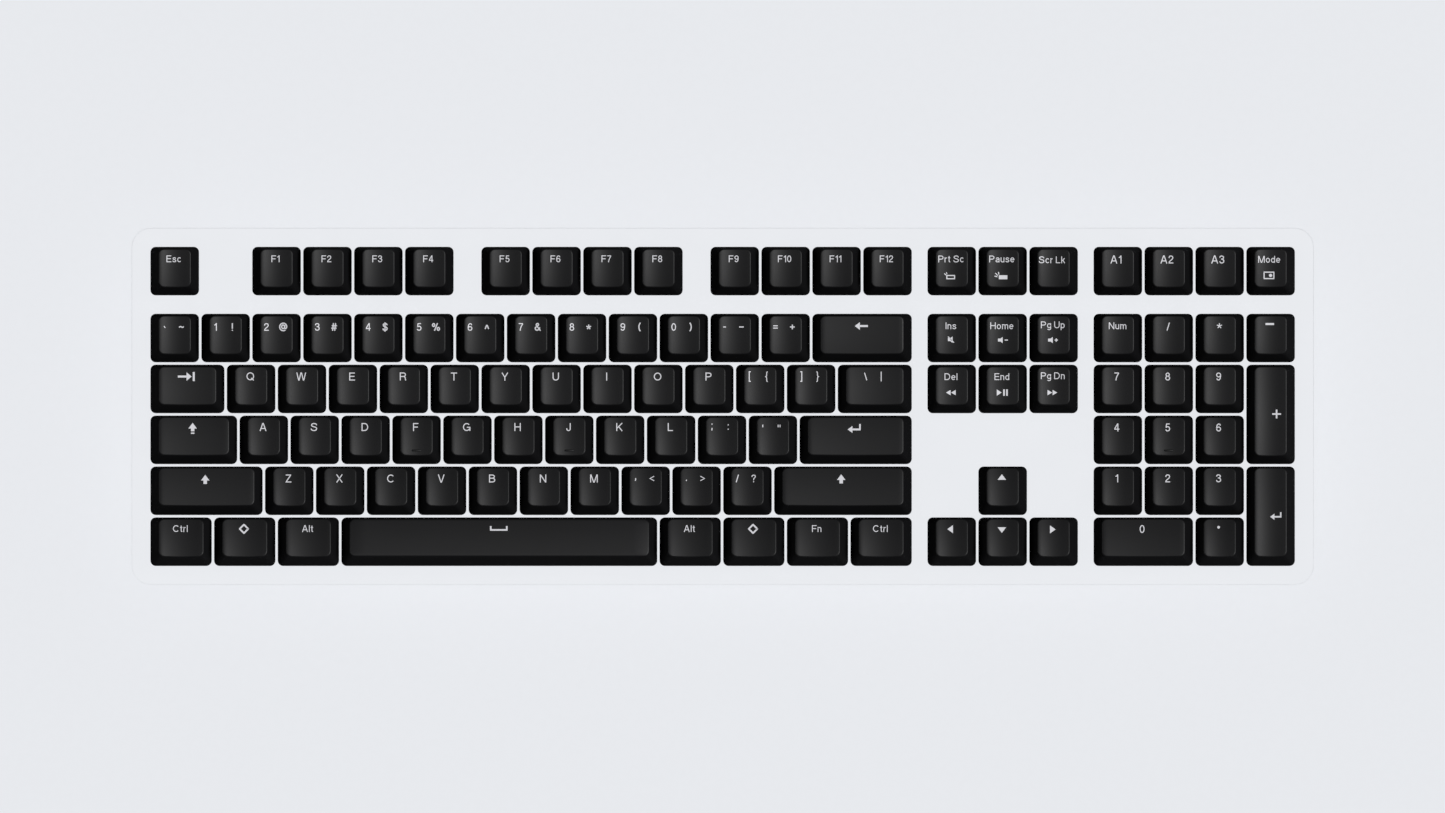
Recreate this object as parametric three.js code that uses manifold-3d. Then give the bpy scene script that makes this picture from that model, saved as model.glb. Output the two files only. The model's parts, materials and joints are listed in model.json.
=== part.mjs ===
// A full-size mechanical keyboard with raised keys over an open switch plate, in millimetres, +Z up.
// The keys, switches, board and plate are built flat in a "deck" group, which is then tilted to the typing angle.
// The tray, its feet and pads are built level with the desk. The origin is at the bottom centre.
import * as THREE from "three";
import { mergeVertices } from "three/addons/utils/BufferGeometryUtils.js";
import Module from "manifold-3d";

const wasm = await Module();
wasm.setup();

// Key field
const UNIT = 19.05; // pitch of a one-unit key
const KEY_GAP = 1.07; // between the skirts of neighbouring keys
const FUNCTION_ROW_GAP = 6; // extra space between the function row and the digit row
const CLUSTER_GAP = 5; // extra space before the navigation block and before the number pad
const MAIN_UNITS = 15; // widths of the three blocks, in key units
const NAVIGATION_UNITS = 3;
const PAD_UNITS = 4;
const ROWS = 6;
const TRAVEL = 4; // how far a key goes down

// Key tops. Each row has its own sculpted profile: height at the middle of the top, tilt in degrees
// (positive leans the top towards the typist), and how far the top stands in from the skirt at the back and front.
const PROFILES = [
  { height: 11.6, tilt: 5, back: 1.8, front: 4.0 },
  { height: 11.2, tilt: 3, back: 0.8, front: 3.1 },
  { height: 9.5, tilt: -1, back: 0.7, front: 3.2 },
  { height: 9.1, tilt: -6, back: 0.6, front: 3.4 },
  { height: 9.3, tilt: -8, back: 0.5, front: 3.5 },
  { height: 9.4, tilt: -9, back: 0.6, front: 3.6 },
];
const TALL_TILT = 1 / 3; // a key two rows deep leans this share of its row's tilt
const TOP_INSET = 3; // how far a key top stands in from the skirt at each side
const SKIRT_RADIUS = 1.9;
const TOP_RADIUS = 2.2;
const DISH = 0.75; // depth of the hollow across a key top
const CROWN = 0.35; // the space bar is domed by this instead
const KEY_WALL = 1.3;
const KEY_CEILING = 6.3; // from the skirt up to the inside of the key top
const SKIRT_ROOM = 1.8; // from the plate up to the skirt of a key that is fully down
const SKIRT_LIFT = SKIRT_ROOM + TRAVEL;
const HOMING_BAR = { width: 3.6, depth: 0.7, height: 0.5, inset: 1.6 };

// Switches: a square lower body that passes through the plate and a tapered upper body whose rim rests on it
const BODY = 13.4;
const FLANGE = 15.6;
const UPPER_WIDTH = 11;
const UPPER_DEPTH = 10.6;
const UPPER_TOP = 6.6; // above the plate
const STEM = { width: 6.4, depth: 5, bottom: 1 }; // at rest
const STEM_CLEARANCE = 0.4;
const WELL_FLOOR = STEM.bottom - TRAVEL - 2 * STEM_CLEARANCE;

// Plate and board
const PLATE_THICKNESS = 1.5;
const PLATE_HOLE = 14;
const PLATE_MARGIN = 7; // from the skirts of the outermost keys to the plate's edge
const PLATE_RADIUS = 7;
const BOARD_TOP = -5; // below the top of the plate
const BOARD_THICKNESS = 1.6;
const BOARD_INSET = 4.4; // from the plate's edge
const GAP = 0.3; // between pieces that touch

// Stabilisers of the wide keys: two guided posts joined by a bent wire that turns as the key goes down
const STABILISER_SPREAD = 11.94; // from the middle of the key to each post
const SPACE_BAR_SPREAD = 50;
const POST = { width: 4, depth: 5, bottom: -2.8 };
const WIRE_RADIUS = 0.75;
const WIRE_ARM = 9.5; // from the wire's long bar back to its hooks
const WIRE_HEIGHT = -2.6; // of the long bar, which is the axis it turns on
const WIRE_OFFSET = 3; // from the middle of a post out to the wire's arm
const HOOK_LENGTH = 2.4;
const WINDOW = { depth: 3, height: 2.4 }; // in the post, for the hook
const GUIDE = { wall: 1.3, top: 3.5, clearance: 0.5, front: 8 };
const CLIP = { width: 2.6, wall: 0.7, clearance: 0.4 };

// Tray, pads and feet
const TYPING_ANGLE = 4; // degrees
const FRONT_HEIGHT = 15; // from the desk to the top of the plate at its front edge
const PAD_LIFT = 1.2; // how far the rubber strips stand out of the tray
const TRAY_INSET = 1.3; // the plate stands out past the tray by this all round
const TRAY_WALL = 2.2;
const TRAY_FLOOR = 2.5;
const PIN_ROOM = 2.5; // between the board and the silicone filler, for pins and chips
const FILLER_DROP = BOARD_THICKNESS + PIN_ROOM - BOARD_TOP; // from the top of the plate
const STRIP = { length: 260, width: 9, depth: 1, inset: 10 };
const TRAY_CHAMFER = 1.6;
const FOOT = { width: 32, length: 24, thickness: 4, barrel: 2.6, across: 172, fromBack: 14, tip: 5 };
const FOOT_PEG_RADIUS = 1.2;
const FOOT_OPEN = 100; // degrees
const FOOT_CLEARANCE = 0.6;
const FOOT_TIP_THICKNESS = 1.4;
const SCREW = { radius: 1.25, head: 2.6, headHeight: 1.6 };
const BOSS_RADIUS = 3;
const STANDOFF = { radius: 2.6, bottom: -4.4 };
const USB = { width: 9, height: 3.3, depth: 7.5, wall: 0.35, across: -95, tongue: 0.7, setBack: 2.2 };
const USB_RECESS = { width: 13, height: 7.5 };
const CHIP = { size: 10, height: 1, across: -60 };

// Facets of each corner of a key, and of the hollow across its top
const CORNER_FACETS = 1;
const DISH_FACETS = 3;
const FIXED_DISH_FACETS = 2;

const materials = {
  keyPlastic: new THREE.MeshStandardMaterial({ color: 0x1b1b1c, roughness: 0.6, metalness: 0 }),
  plate: new THREE.MeshStandardMaterial({ color: 0xe6e8ec, roughness: 0.5, metalness: 0.1 }),
  board: new THREE.MeshStandardMaterial({ color: 0x20262a, roughness: 0.5, metalness: 0 }),
  tray: new THREE.MeshStandardMaterial({ color: 0xdfe1e6, roughness: 0.6, metalness: 0 }),
  rubber: new THREE.MeshStandardMaterial({ color: 0x8e9095, roughness: 0.9, metalness: 0 }),
  silicone: new THREE.MeshStandardMaterial({ color: 0xb9bcc4, roughness: 0.8, metalness: 0 }),
  steel: new THREE.MeshStandardMaterial({ color: 0xb6b8bb, roughness: 0.35, metalness: 1 }),
  chip: new THREE.MeshStandardMaterial({ color: 0x141416, roughness: 0.7, metalness: 0 }),
};

// Layout: key names from left to right, with numbers for gaps in key units. A key is one unit wide unless WIDTHS says otherwise.
const WIDTHS = {
  backspace: 2, tab: 1.5, backslash: 1.5, caps_lock: 1.75, enter: 2.25, left_shift: 2.25, right_shift: 2.75,
  left_control: 1.25, left_super: 1.25, left_alt: 1.25, space: 6.25, right_alt: 1.25, right_super: 1.25,
  function: 1.25, right_control: 1.25, pad_0: 2,
};
const TALL = { pad_plus: 2, pad_enter: 2 };
const LAYOUT = [
  ["escape 1 f1 f2 f3 f4 0.5 f5 f6 f7 f8 0.5 f9 f10 f11 f12",
    "print_screen pause scroll_lock", "extra_1 extra_2 extra_3 mode"],
  ["grave digit_1 digit_2 digit_3 digit_4 digit_5 digit_6 digit_7 digit_8 digit_9 digit_0 minus equals backspace",
    "insert home page_up", "num_lock pad_divide pad_multiply pad_minus"],
  ["tab q w e r t y u i o p left_bracket right_bracket backslash",
    "delete end page_down", "pad_7 pad_8 pad_9 pad_plus"],
  ["caps_lock a s d f g h j k l semicolon quote enter", "", "pad_4 pad_5 pad_6"],
  ["left_shift z x c v b n m comma period slash right_shift", "1 up", "pad_1 pad_2 pad_3 pad_enter"],
  ["left_control left_super left_alt space right_alt right_super function right_control",
    "left down right", "pad_0 pad_point"],
];
const HOMING = ["f", "j", "pad_5"];

const fieldWidth = (MAIN_UNITS + NAVIGATION_UNITS + PAD_UNITS) * UNIT + 2 * CLUSTER_GAP - KEY_GAP;
const fieldDepth = ROWS * UNIT + FUNCTION_ROW_GAP - KEY_GAP;
const plateWidth = fieldWidth + 2 * PLATE_MARGIN;
const plateDepth = fieldDepth + 2 * PLATE_MARGIN;
const tilt = THREE.MathUtils.degToRad(TYPING_ANGLE);
const deckHeight = FRONT_HEIGHT + (plateDepth / 2) * Math.sin(tilt);
const blockStarts = [0, MAIN_UNITS * UNIT + CLUSTER_GAP, (MAIN_UNITS + NAVIGATION_UNITS) * UNIT + 2 * CLUSTER_GAP];

// Every key with its middle on the deck, its size and its row.
function placeKeys() {
  const keys = [];
  LAYOUT.forEach((blocks, row) => {
    const back = fieldDepth / 2 - row * UNIT - (row ? FUNCTION_ROW_GAP : 0);
    blocks.forEach((names, block) => {
      let left = blockStarts[block] - fieldWidth / 2;
      for (const name of names.split(" ").filter(Boolean)) {
        if (Number(name)) {
          left += Number(name) * UNIT;
          continue;
        }
        const width = (WIDTHS[name] ?? 1) * UNIT - KEY_GAP;
        const depth = (TALL[name] ?? 1) * UNIT - KEY_GAP;
        keys.push({ name, row, block, width, depth, x: left + width / 2, y: back - depth / 2 });
        left += width + KEY_GAP;
      }
    });
  });
  return keys;
}

const keys = placeKeys();
const keyNamed = (name) => keys.find((key) => key.name === name);
// The three letter rows and the space bar travel. The other keys are fused with the board's switches.
const travels = (key) => (key.block === 0 && key.row >= 2 && key.row <= 4) || key.name === "space";
const stabilised = keys.filter((key) => travels(key) && key.width > 2 * UNIT);
const spreadOf = (key) => (key.name === "space" ? SPACE_BAR_SPREAD : STABILISER_SPREAD);

// Helpers between three.js geometry and manifold solids
function solid(geometry) {
  const plain = (geometry.index ? geometry.toNonIndexed() : geometry).clone();
  plain.deleteAttribute("normal");
  plain.deleteAttribute("uv");
  const merged = mergeVertices(plain, 1e-4);
  return new wasm.Manifold(
    new wasm.Mesh({
      numProp: 3,
      vertProperties: merged.attributes.position.array,
      triVerts: new Uint32Array(merged.index.array),
    }),
  );
}

function geometryOf(body) {
  const mesh = body.getMesh();
  const geometry = new THREE.BufferGeometry();
  geometry.setAttribute("position", new THREE.BufferAttribute(mesh.vertProperties, mesh.numProp));
  geometry.setIndex(new THREE.BufferAttribute(mesh.triVerts, 1));
  return geometry;
}

const joined = (solids) => wasm.Manifold.union(solids);

// A box between two corners.
function block(low, high) {
  const size = high.map((value, axis) => value - low[axis]);
  const middle = high.map((value, axis) => (value + low[axis]) / 2);
  return solid(new THREE.BoxGeometry(...size).translate(...middle));
}

// A round rod along x or z, from its lower end.
function rod(radius, length, [x, y, z], along = "z", sides = 8) {
  const geometry = new THREE.CylinderGeometry(radius, radius, length, sides);
  if (along === "x") geometry.rotateZ(-Math.PI / 2).translate(x + length / 2, y, z);
  else geometry.rotateX(Math.PI / 2).translate(x, y, z + length / 2);
  return solid(geometry);
}

// A rectangle with round corners about the origin.
function roundedRectangle(width, depth, radius) {
  const [x, y] = [width / 2 - radius, depth / 2 - radius];
  const outline = new THREE.Shape();
  outline.absarc(x, y, radius, 0, Math.PI / 2);
  outline.absarc(-x, y, radius, Math.PI / 2, Math.PI);
  outline.absarc(-x, -y, radius, Math.PI, 1.5 * Math.PI);
  outline.absarc(x, -y, radius, 1.5 * Math.PI, 2 * Math.PI);
  outline.closePath();
  return outline;
}

function prism(outline, bottom, height, { curveSegments = 3, chamfer = 0 } = {}) {
  const geometry = new THREE.ExtrudeGeometry(outline, {
    depth: height - 2 * chamfer,
    bevelEnabled: chamfer > 0,
    bevelSegments: 1,
    bevelThickness: chamfer,
    bevelSize: chamfer,
    bevelOffset: -chamfer,
    curveSegments,
  });
  return geometry.translate(0, 0, bottom + chamfer);
}

// One level of a key: a rounded rectangle listed as a front edge from left to right and a back edge with the same x values,
// so that levels can be joined point to point and the top can follow a hollow that runs from front to back.
function keyRing({ width, front, back, radius, height }, spans) {
  const xs = [];
  const ys = [];
  for (let step = 0; step <= CORNER_FACETS; step++) {
    const angle = (step / CORNER_FACETS) * (Math.PI / 2);
    xs.push(-width / 2 + radius * (1 - Math.cos(angle)));
    ys.push(radius * (1 - Math.sin(angle)));
  }
  for (let span = 1; span < spans; span++) {
    xs.push((span / spans - 0.5) * (width - 2 * radius));
    ys.push(0);
  }
  for (let step = CORNER_FACETS; step >= 0; step--) {
    xs.push(-xs[step]);
    ys.push(ys[step]);
  }
  const at = (x, y) => new THREE.Vector3(x, y, typeof height === "function" ? height(x, y) : height);
  const frontEdge = xs.map((x, i) => at(x, front + ys[i]));
  const backEdge = xs.map((x, i) => at(x, back - ys[i]));
  return { frontEdge, backEdge, loop: [...frontEdge, ...backEdge.reverse()] };
}

function rectangleRing([left, right], [front, back], height) {
  const corners = [[left, front], [right, front], [right, back], [left, back]];
  return { loop: corners.map((corner) => new THREE.Vector3(...corner, height)) };
}

// Closed surface through rings that are listed from the lowest outer one round to the last, with a flat or hollowed lid at each end.
function lofted(rings) {
  const corners = [];
  const face = (...points) => {
    for (let i = 1; i + 1 < points.length; i++) corners.push(points[0], points[i], points[i + 1]);
  };
  const count = rings[0].loop.length;
  rings.slice(1).forEach((upper, level) => {
    const lower = rings[level].loop;
    for (let i = 0; i < count; i++) {
      const next = (i + 1) % count;
      face(lower[i], lower[next], upper.loop[next], upper.loop[i]);
    }
  });
  const lid = ({ loop }, flip) => {
    for (let i = 0; i + 1 < count / 2; i++) {
      const quad = [loop[i], loop[i + 1], loop[count - 2 - i], loop[count - 1 - i]];
      const shape = new Set(quad);
      const points = [...shape];
      if (flip) points.reverse();
      face(...points);
    }
  };
  lid(rings[0], true);
  lid(rings[rings.length - 1], false);
  return solid(new THREE.BufferGeometry().setFromPoints(corners));
}

// Height of a key's top surface above its skirt.
function topSurface(key) {
  const profile = PROFILES[key.row];
  const lean = profile.tilt * (TALL[key.name] ? TALL_TILT : 1);
  const slope = Math.tan(THREE.MathUtils.degToRad(lean));
  const halfWidth = key.width / 2 - TOP_INSET;
  const middle = (profile.front - profile.back) / 2;
  const domed = key.name === "space";
  const halfDepth = (key.depth - profile.front - profile.back) / 2;
  return (x, y) => {
    const height = profile.height + slope * (y - middle);
    if (domed) return height - CROWN * ((y - middle) / halfDepth) ** 2;
    return height - DISH * (1 - (x / halfWidth) ** 2);
  };
}

// A key without its stem, standing on its skirt at height 0: hollow below if it travels.
function keyTop(key, hollow) {
  const profile = PROFILES[key.row];
  const facets = hollow ? DISH_FACETS : FIXED_DISH_FACETS;
  const spans = key.name === "space" ? 1 : facets;
  const skirt = { width: key.width, front: -key.depth / 2, back: key.depth / 2, radius: SKIRT_RADIUS, height: 0 };
  const top = {
    width: key.width - 2 * TOP_INSET,
    front: -key.depth / 2 + profile.front,
    back: key.depth / 2 - profile.back,
    radius: TOP_RADIUS,
    height: topSurface(key),
  };
  const outside = lofted([keyRing(skirt, spans), keyRing(top, spans)]);
  if (!hollow) return outside;
  const inner = (height) => {
    const share = height / profile.height;
    const x = key.width / 2 - KEY_WALL - share * TOP_INSET;
    const front = -key.depth / 2 + KEY_WALL + share * profile.front;
    const back = key.depth / 2 - KEY_WALL - share * profile.back;
    return rectangleRing([-x, x], [front, back], height);
  };
  return outside.subtract(lofted([inner(-GAP), inner(KEY_CEILING)]));
}

function homingBar(key) {
  const profile = PROFILES[key.row];
  const y = -key.depth / 2 + profile.front + HOMING_BAR.inset;
  const surface = topSurface(key)(0, y);
  return block(
    [-HOMING_BAR.width / 2, y - HOMING_BAR.depth / 2, surface - HOMING_BAR.height],
    [HOMING_BAR.width / 2, y + HOMING_BAR.depth / 2, surface + HOMING_BAR.height],
  );
}

// The key's stem, which slides in the switch, and on a wide key the two stabiliser posts with a window for the wire's hook.
function stemsOf(key) {
  const ceiling = KEY_CEILING + KEY_WALL / 2;
  const down = (height) => height - SKIRT_LIFT;
  const stems = [
    block([-STEM.width / 2, -STEM.depth / 2, down(STEM.bottom)], [STEM.width / 2, STEM.depth / 2, ceiling]),
  ];
  if (!stabilised.includes(key)) return stems;
  const hook = down(WIRE_HEIGHT + TRAVEL / 2);
  for (const side of [-1, 1]) {
    const x = side * spreadOf(key);
    const post = block(
      [x - POST.width / 2, -POST.depth / 2, down(POST.bottom)],
      [x + POST.width / 2, POST.depth / 2, ceiling],
    );
    const window = block(
      [x - POST.width, -WINDOW.depth / 2, hook - WINDOW.height / 2],
      [x + POST.width, WINDOW.depth / 2, hook + WINDOW.height / 2],
    );
    stems.push(post.subtract(window));
  }
  return stems;
}

function keycap(key) {
  const pieces = [keyTop(key, true), ...stemsOf(key)];
  if (HOMING.includes(key.name)) pieces.push(homingBar(key));
  return joined(pieces).translate([key.x, key.y, SKIRT_LIFT]);
}

// A switch's housing. Under a key that travels it has a rim over the plate, a tapered upper body and an open well for the stem.
function switchHousing(key) {
  const square = (width, depth, height) =>
    rectangleRing([-width / 2, width / 2], [-depth / 2, depth / 2], height);
  const base = square(BODY, BODY, BOARD_TOP - GAP);
  if (!travels(key)) return lofted([base, square(BODY, BODY, SKIRT_LIFT + GAP)]).translate([key.x, key.y, 0]);
  const [x, y] = [STEM.width / 2 + STEM_CLEARANCE, STEM.depth / 2 + STEM_CLEARANCE];
  return lofted([
    base,
    square(BODY, BODY, GAP),
    square(FLANGE, FLANGE, GAP),
    square(UPPER_WIDTH, UPPER_DEPTH, UPPER_TOP),
  ])
    .subtract(block([-x, -y, WELL_FLOOR], [x, y, UPPER_TOP + 1]))
    .translate([key.x, key.y, 0]);
}

// Guides for the two posts of a wide key, each a channel open on its outer side, with a clip in front that holds the wire.
function stabiliserGuides(key) {
  const x = POST.width / 2 + GUIDE.clearance;
  const y = POST.depth / 2 + GUIDE.clearance;
  const low = BOARD_TOP - GAP;
  const channel = block([-x - GUIDE.wall, -y - GUIDE.wall, low], [x - 1, y + GUIDE.wall, GUIDE.top]).subtract(
    block([-x, -y, low - 1], [x, y, GUIDE.top + 1]),
  );
  const room = WIRE_RADIUS + CLIP.clearance;
  const clip = block(
    [-x - GUIDE.wall, -WIRE_ARM - room - CLIP.wall, low],
    [-x - GUIDE.wall + CLIP.width, -WIRE_ARM + room + CLIP.wall, WIRE_HEIGHT + WIRE_RADIUS],
  ).subtract(block([-FLANGE, -WIRE_ARM - room, WIRE_HEIGHT - room], [FLANGE, -WIRE_ARM + room, 0]));
  const guide = channel.add(clip);
  return [-1, 1].map((side) =>
    (side > 0 ? guide : guide.mirror([1, 0, 0])).translate([key.x + side * spreadOf(key), key.y, 0]),
  );
}

// Clearance slots in the board below the posts and hooks of a wide key.
function boardSlots(key) {
  const inner = POST.width / 2 + GUIDE.clearance;
  const outer = WIRE_OFFSET + WIRE_RADIUS + GUIDE.clearance;
  const y = POST.depth / 2 + GUIDE.clearance;
  return [-1, 1].map((side) => {
    const ends = [-side * inner, side * outer].map((offset) => key.x + side * spreadOf(key) + offset);
    return block(
      [Math.min(...ends), key.y - y, BOARD_TOP - BOARD_THICKNESS - 1],
      [Math.max(...ends), key.y + y, BOARD_TOP + 1],
    );
  });
}

// Screws stand where the switches leave room: between the function and digit rows, and between wide bottom-row keys.
function screwPlaces() {
  const between = (a, b) => (keyNamed(a).x + keyNamed(b).x) / 2;
  const rearRow = (keyNamed("escape").y + keyNamed("grave").y) / 2;
  return {
    rear_left: [keyNamed("escape").x, rearRow],
    rear_right: [keyNamed("mode").x, rearRow],
    front_left: [between("left_control", "left_super"), keyNamed("left_control").y],
    front_right: [between("pad_0", "pad_point"), keyNamed("pad_0").y],
  };
}

function circuitBoardWithSwitches() {
  const outline = roundedRectangle(
    plateWidth - 2 * BOARD_INSET,
    plateDepth - 2 * BOARD_INSET,
    PLATE_RADIUS - BOARD_INSET / 2,
  );
  const openings = Object.values(screwPlaces()).map(([x, y]) =>
    rod(BOSS_RADIUS + 2 * GAP, BOARD_THICKNESS + 2, [x, y, BOARD_TOP - BOARD_THICKNESS - 1]),
  );
  openings.push(...stabilised.flatMap(boardSlots));
  const board = solid(prism(outline, BOARD_TOP - BOARD_THICKNESS, BOARD_THICKNESS)).subtract(joined(openings));
  const fixedTops = keys
    .filter((key) => !travels(key))
    .map((key) => {
      const top = HOMING.includes(key.name) ? keyTop(key, false).add(homingBar(key)) : keyTop(key, false);
      return top.translate([key.x, key.y, SKIRT_LIFT]);
    });
  return joined([board, ...keys.map(switchHousing), ...stabilised.flatMap(stabiliserGuides), ...fixedTops]);
}

function switchPlate() {
  const half = PLATE_HOLE / 2;
  const openings = keys.map(({ x, y }) =>
    block([x - half, y - half, -PLATE_THICKNESS - 1], [x + half, y + half, 1]),
  );
  for (const key of stabilised) {
    const back = key.y + POST.depth / 2 + GUIDE.clearance + GUIDE.wall + GAP;
    const reach = WIRE_OFFSET + WIRE_RADIUS + GUIDE.clearance;
    for (const x of [key.x - spreadOf(key), key.x + spreadOf(key)])
      openings.push(block([x - reach, key.y - GUIDE.front, -PLATE_THICKNESS - 1], [x + reach, back, 1]));
  }
  const sheet = solid(
    prism(roundedRectangle(plateWidth, plateDepth, PLATE_RADIUS), -PLATE_THICKNESS, PLATE_THICKNESS),
  ).subtract(joined(openings));
  const standoffs = Object.values(screwPlaces()).map(([x, y]) =>
    rod(STANDOFF.radius, -STANDOFF.bottom - PLATE_THICKNESS / 2, [x, y, STANDOFF.bottom]).subtract(
      rod(SCREW.radius + GAP, -STANDOFF.bottom, [x, y, STANDOFF.bottom - PLATE_THICKNESS]),
    ),
  );
  return joined([sheet, ...standoffs]);
}

// A bent round rod through the given points, mitred at the bends.
function bentRod(points, radius, sides) {
  const path = points.map((point) => new THREE.Vector3(...point));
  const directions = path.slice(1).map((point, i) => point.clone().sub(path[i]).normalize());
  const across = new THREE.Vector3(0.3, 0.2, 1).cross(directions[0]).normalize();
  const up = directions[0].clone().cross(across);
  const ring = (centre, normal, along, from) => ({
    loop: from.map((vertex) => {
      const distance = centre.clone().sub(vertex).dot(normal) / along.dot(normal);
      return vertex.clone().addScaledVector(along, distance);
    }),
  });
  const start = Array.from({ length: sides }, (_, i) => {
    const angle = (i / sides) * 2 * Math.PI;
    return path[0].clone().addScaledVector(across, radius * Math.cos(angle)).addScaledVector(up, radius * Math.sin(angle));
  });
  const rings = [{ loop: start }];
  directions.forEach((along, i) => {
    const normal = i + 1 < directions.length ? along.clone().add(directions[i + 1]).normalize() : along;
    rings.push(ring(path[i + 1], normal, along, rings[i].loop));
  });
  return lofted(rings);
}

// The wire of a wide key at rest, about its own turning axis: a long bar, two arms and two hooks that point inwards.
function stabiliserWire(key) {
  const reach = spreadOf(key) + WIRE_OFFSET;
  const rise = Math.asin(TRAVEL / 2 / WIRE_ARM);
  const end = [WIRE_ARM * Math.cos(rise), TRAVEL / 2];
  const inner = reach - HOOK_LENGTH;
  return bentRod(
    [[-inner, ...end], [-reach, ...end], [-reach, 0, 0], [reach, 0, 0], [reach, ...end], [inner, ...end]],
    WIRE_RADIUS,
    6,
  );
}

// Where the level pieces meet the tilted deck
const deckPlane = (drop) => {
  const size = 4 * plateWidth;
  const cutter = new THREE.BoxGeometry(size, size, size).translate(0, 0, size / 2 - drop);
  return solid(cutter.rotateX(tilt).translate(0, 0, deckHeight));
};
const onDesk = ([x, y], drop) => [
  x,
  y * Math.cos(tilt) + drop * Math.sin(tilt),
  deckHeight + y * Math.sin(tilt) - drop * Math.cos(tilt),
];

const trayWidth = plateWidth - 2 * TRAY_INSET;
const trayDepth = (plateDepth - 2 * TRAY_INSET) * Math.cos(tilt);
const trayRadius = PLATE_RADIUS - TRAY_INSET;
const trayBack = trayDepth / 2;
const trayTop = deckHeight + plateDepth; // above any point of the deck
const footAxis = { y: trayBack - FOOT.fromBack, z: PAD_LIFT + FOOT.barrel + FOOT_CLEARANCE / 2 };
const footSides = { left: -FOOT.across, right: FOOT.across };
const pocketWidth = FOOT.width + 2 * FOOT_CLEARANCE;

// The space in the tray's underside that a folded foot lies in.
function footPocket(x) {
  const high = footAxis.z + FOOT.barrel + FOOT_CLEARANCE;
  return block(
    [x - pocketWidth / 2, footAxis.y - FOOT.length - 2 * FOOT_CLEARANCE, 0],
    [x + pocketWidth / 2, footAxis.y + FOOT.barrel + FOOT_CLEARANCE, high],
  );
}

function footPocketWalls(x) {
  const high = footAxis.z + FOOT.barrel + FOOT_CLEARANCE + TRAY_FLOOR;
  return block(
    [x - pocketWidth / 2 - TRAY_WALL, footAxis.y - FOOT.length - 2 * FOOT_CLEARANCE - TRAY_WALL, PAD_LIFT],
    [x + pocketWidth / 2 + TRAY_WALL, footAxis.y + FOOT.barrel + FOOT_CLEARANCE + TRAY_WALL, high],
  );
}

// Boss for a screw that comes up from below: round, straight up to just below the standoff of the plate.
function screwBoss([x, y], grow = 0) {
  const [bossX, bossY] = onDesk([x, y], -STANDOFF.bottom);
  return rod(BOSS_RADIUS + grow, trayTop, [bossX, bossY, PAD_LIFT]).subtract(deckPlane(-STANDOFF.bottom + GAP - grow));
}

const usbPlace = onDesk([USB.across, 0], -BOARD_TOP + BOARD_THICKNESS + GAP + USB.height / 2);
const usbHeight = usbPlace[2] + (trayBack - TRAY_WALL) * Math.tan(tilt);

function trayShell() {
  const outline = roundedRectangle(trayWidth, trayDepth, trayRadius);
  const outer = solid(prism(outline, PAD_LIFT, trayTop, { curveSegments: 4, chamfer: TRAY_CHAMFER }));
  const inner = solid(
    prism(
      roundedRectangle(trayWidth - 2 * TRAY_WALL, trayDepth - 2 * TRAY_WALL, trayRadius - TRAY_WALL),
      PAD_LIFT + TRAY_FLOOR,
      trayTop,
    ),
  );
  return outer.subtract(inner).subtract(deckPlane(PLATE_THICKNESS + GAP));
}

function bottomTray() {
  let tray = trayShell();
  for (const x of Object.values(footSides)) tray = tray.add(footPocketWalls(x));
  for (const place of Object.values(screwPlaces())) tray = tray.add(screwBoss(place));
  for (const x of Object.values(footSides)) {
    tray = tray.subtract(footPocket(x));
    const pinEnd = TRAY_WALL * 0.6;
    const hole = rod(
      FOOT_PEG_RADIUS + GAP,
      pocketWidth + 2 * pinEnd + 2 * GAP,
      [x - pocketWidth / 2 - pinEnd - GAP, footAxis.y, footAxis.z],
      "x",
    );
    tray = tray.subtract(hole);
  }
  for (const place of Object.values(screwPlaces())) {
    const [x, y] = onDesk(place, -STANDOFF.bottom);
    tray = tray.subtract(rod(SCREW.radius + GAP, trayTop, [x, y, 0]));
    tray = tray.subtract(rod(SCREW.head + GAP, PAD_LIFT + SCREW.headHeight + GAP, [x, y, 0]));
  }
  for (const y of stripRows()) tray = tray.subtract(stripBody(y, GAP));
  return tray.subtract(
    block(
      [USB.across - USB_RECESS.width / 2, trayBack - TRAY_WALL - 1, usbHeight - USB_RECESS.height / 2],
      [USB.across + USB_RECESS.width / 2, trayBack + 1, usbHeight + USB_RECESS.height / 2],
    ),
  );
}

const stripRows = () => [-trayBack + STRIP.inset, trayBack - STRIP.inset - STRIP.width];
function stripBody(y, grow = 0) {
  return block(
    [-STRIP.length / 2 - grow, y - grow, 0],
    [STRIP.length / 2 + grow, y + STRIP.width + grow, PAD_LIFT + STRIP.depth + grow],
  );
}

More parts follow.
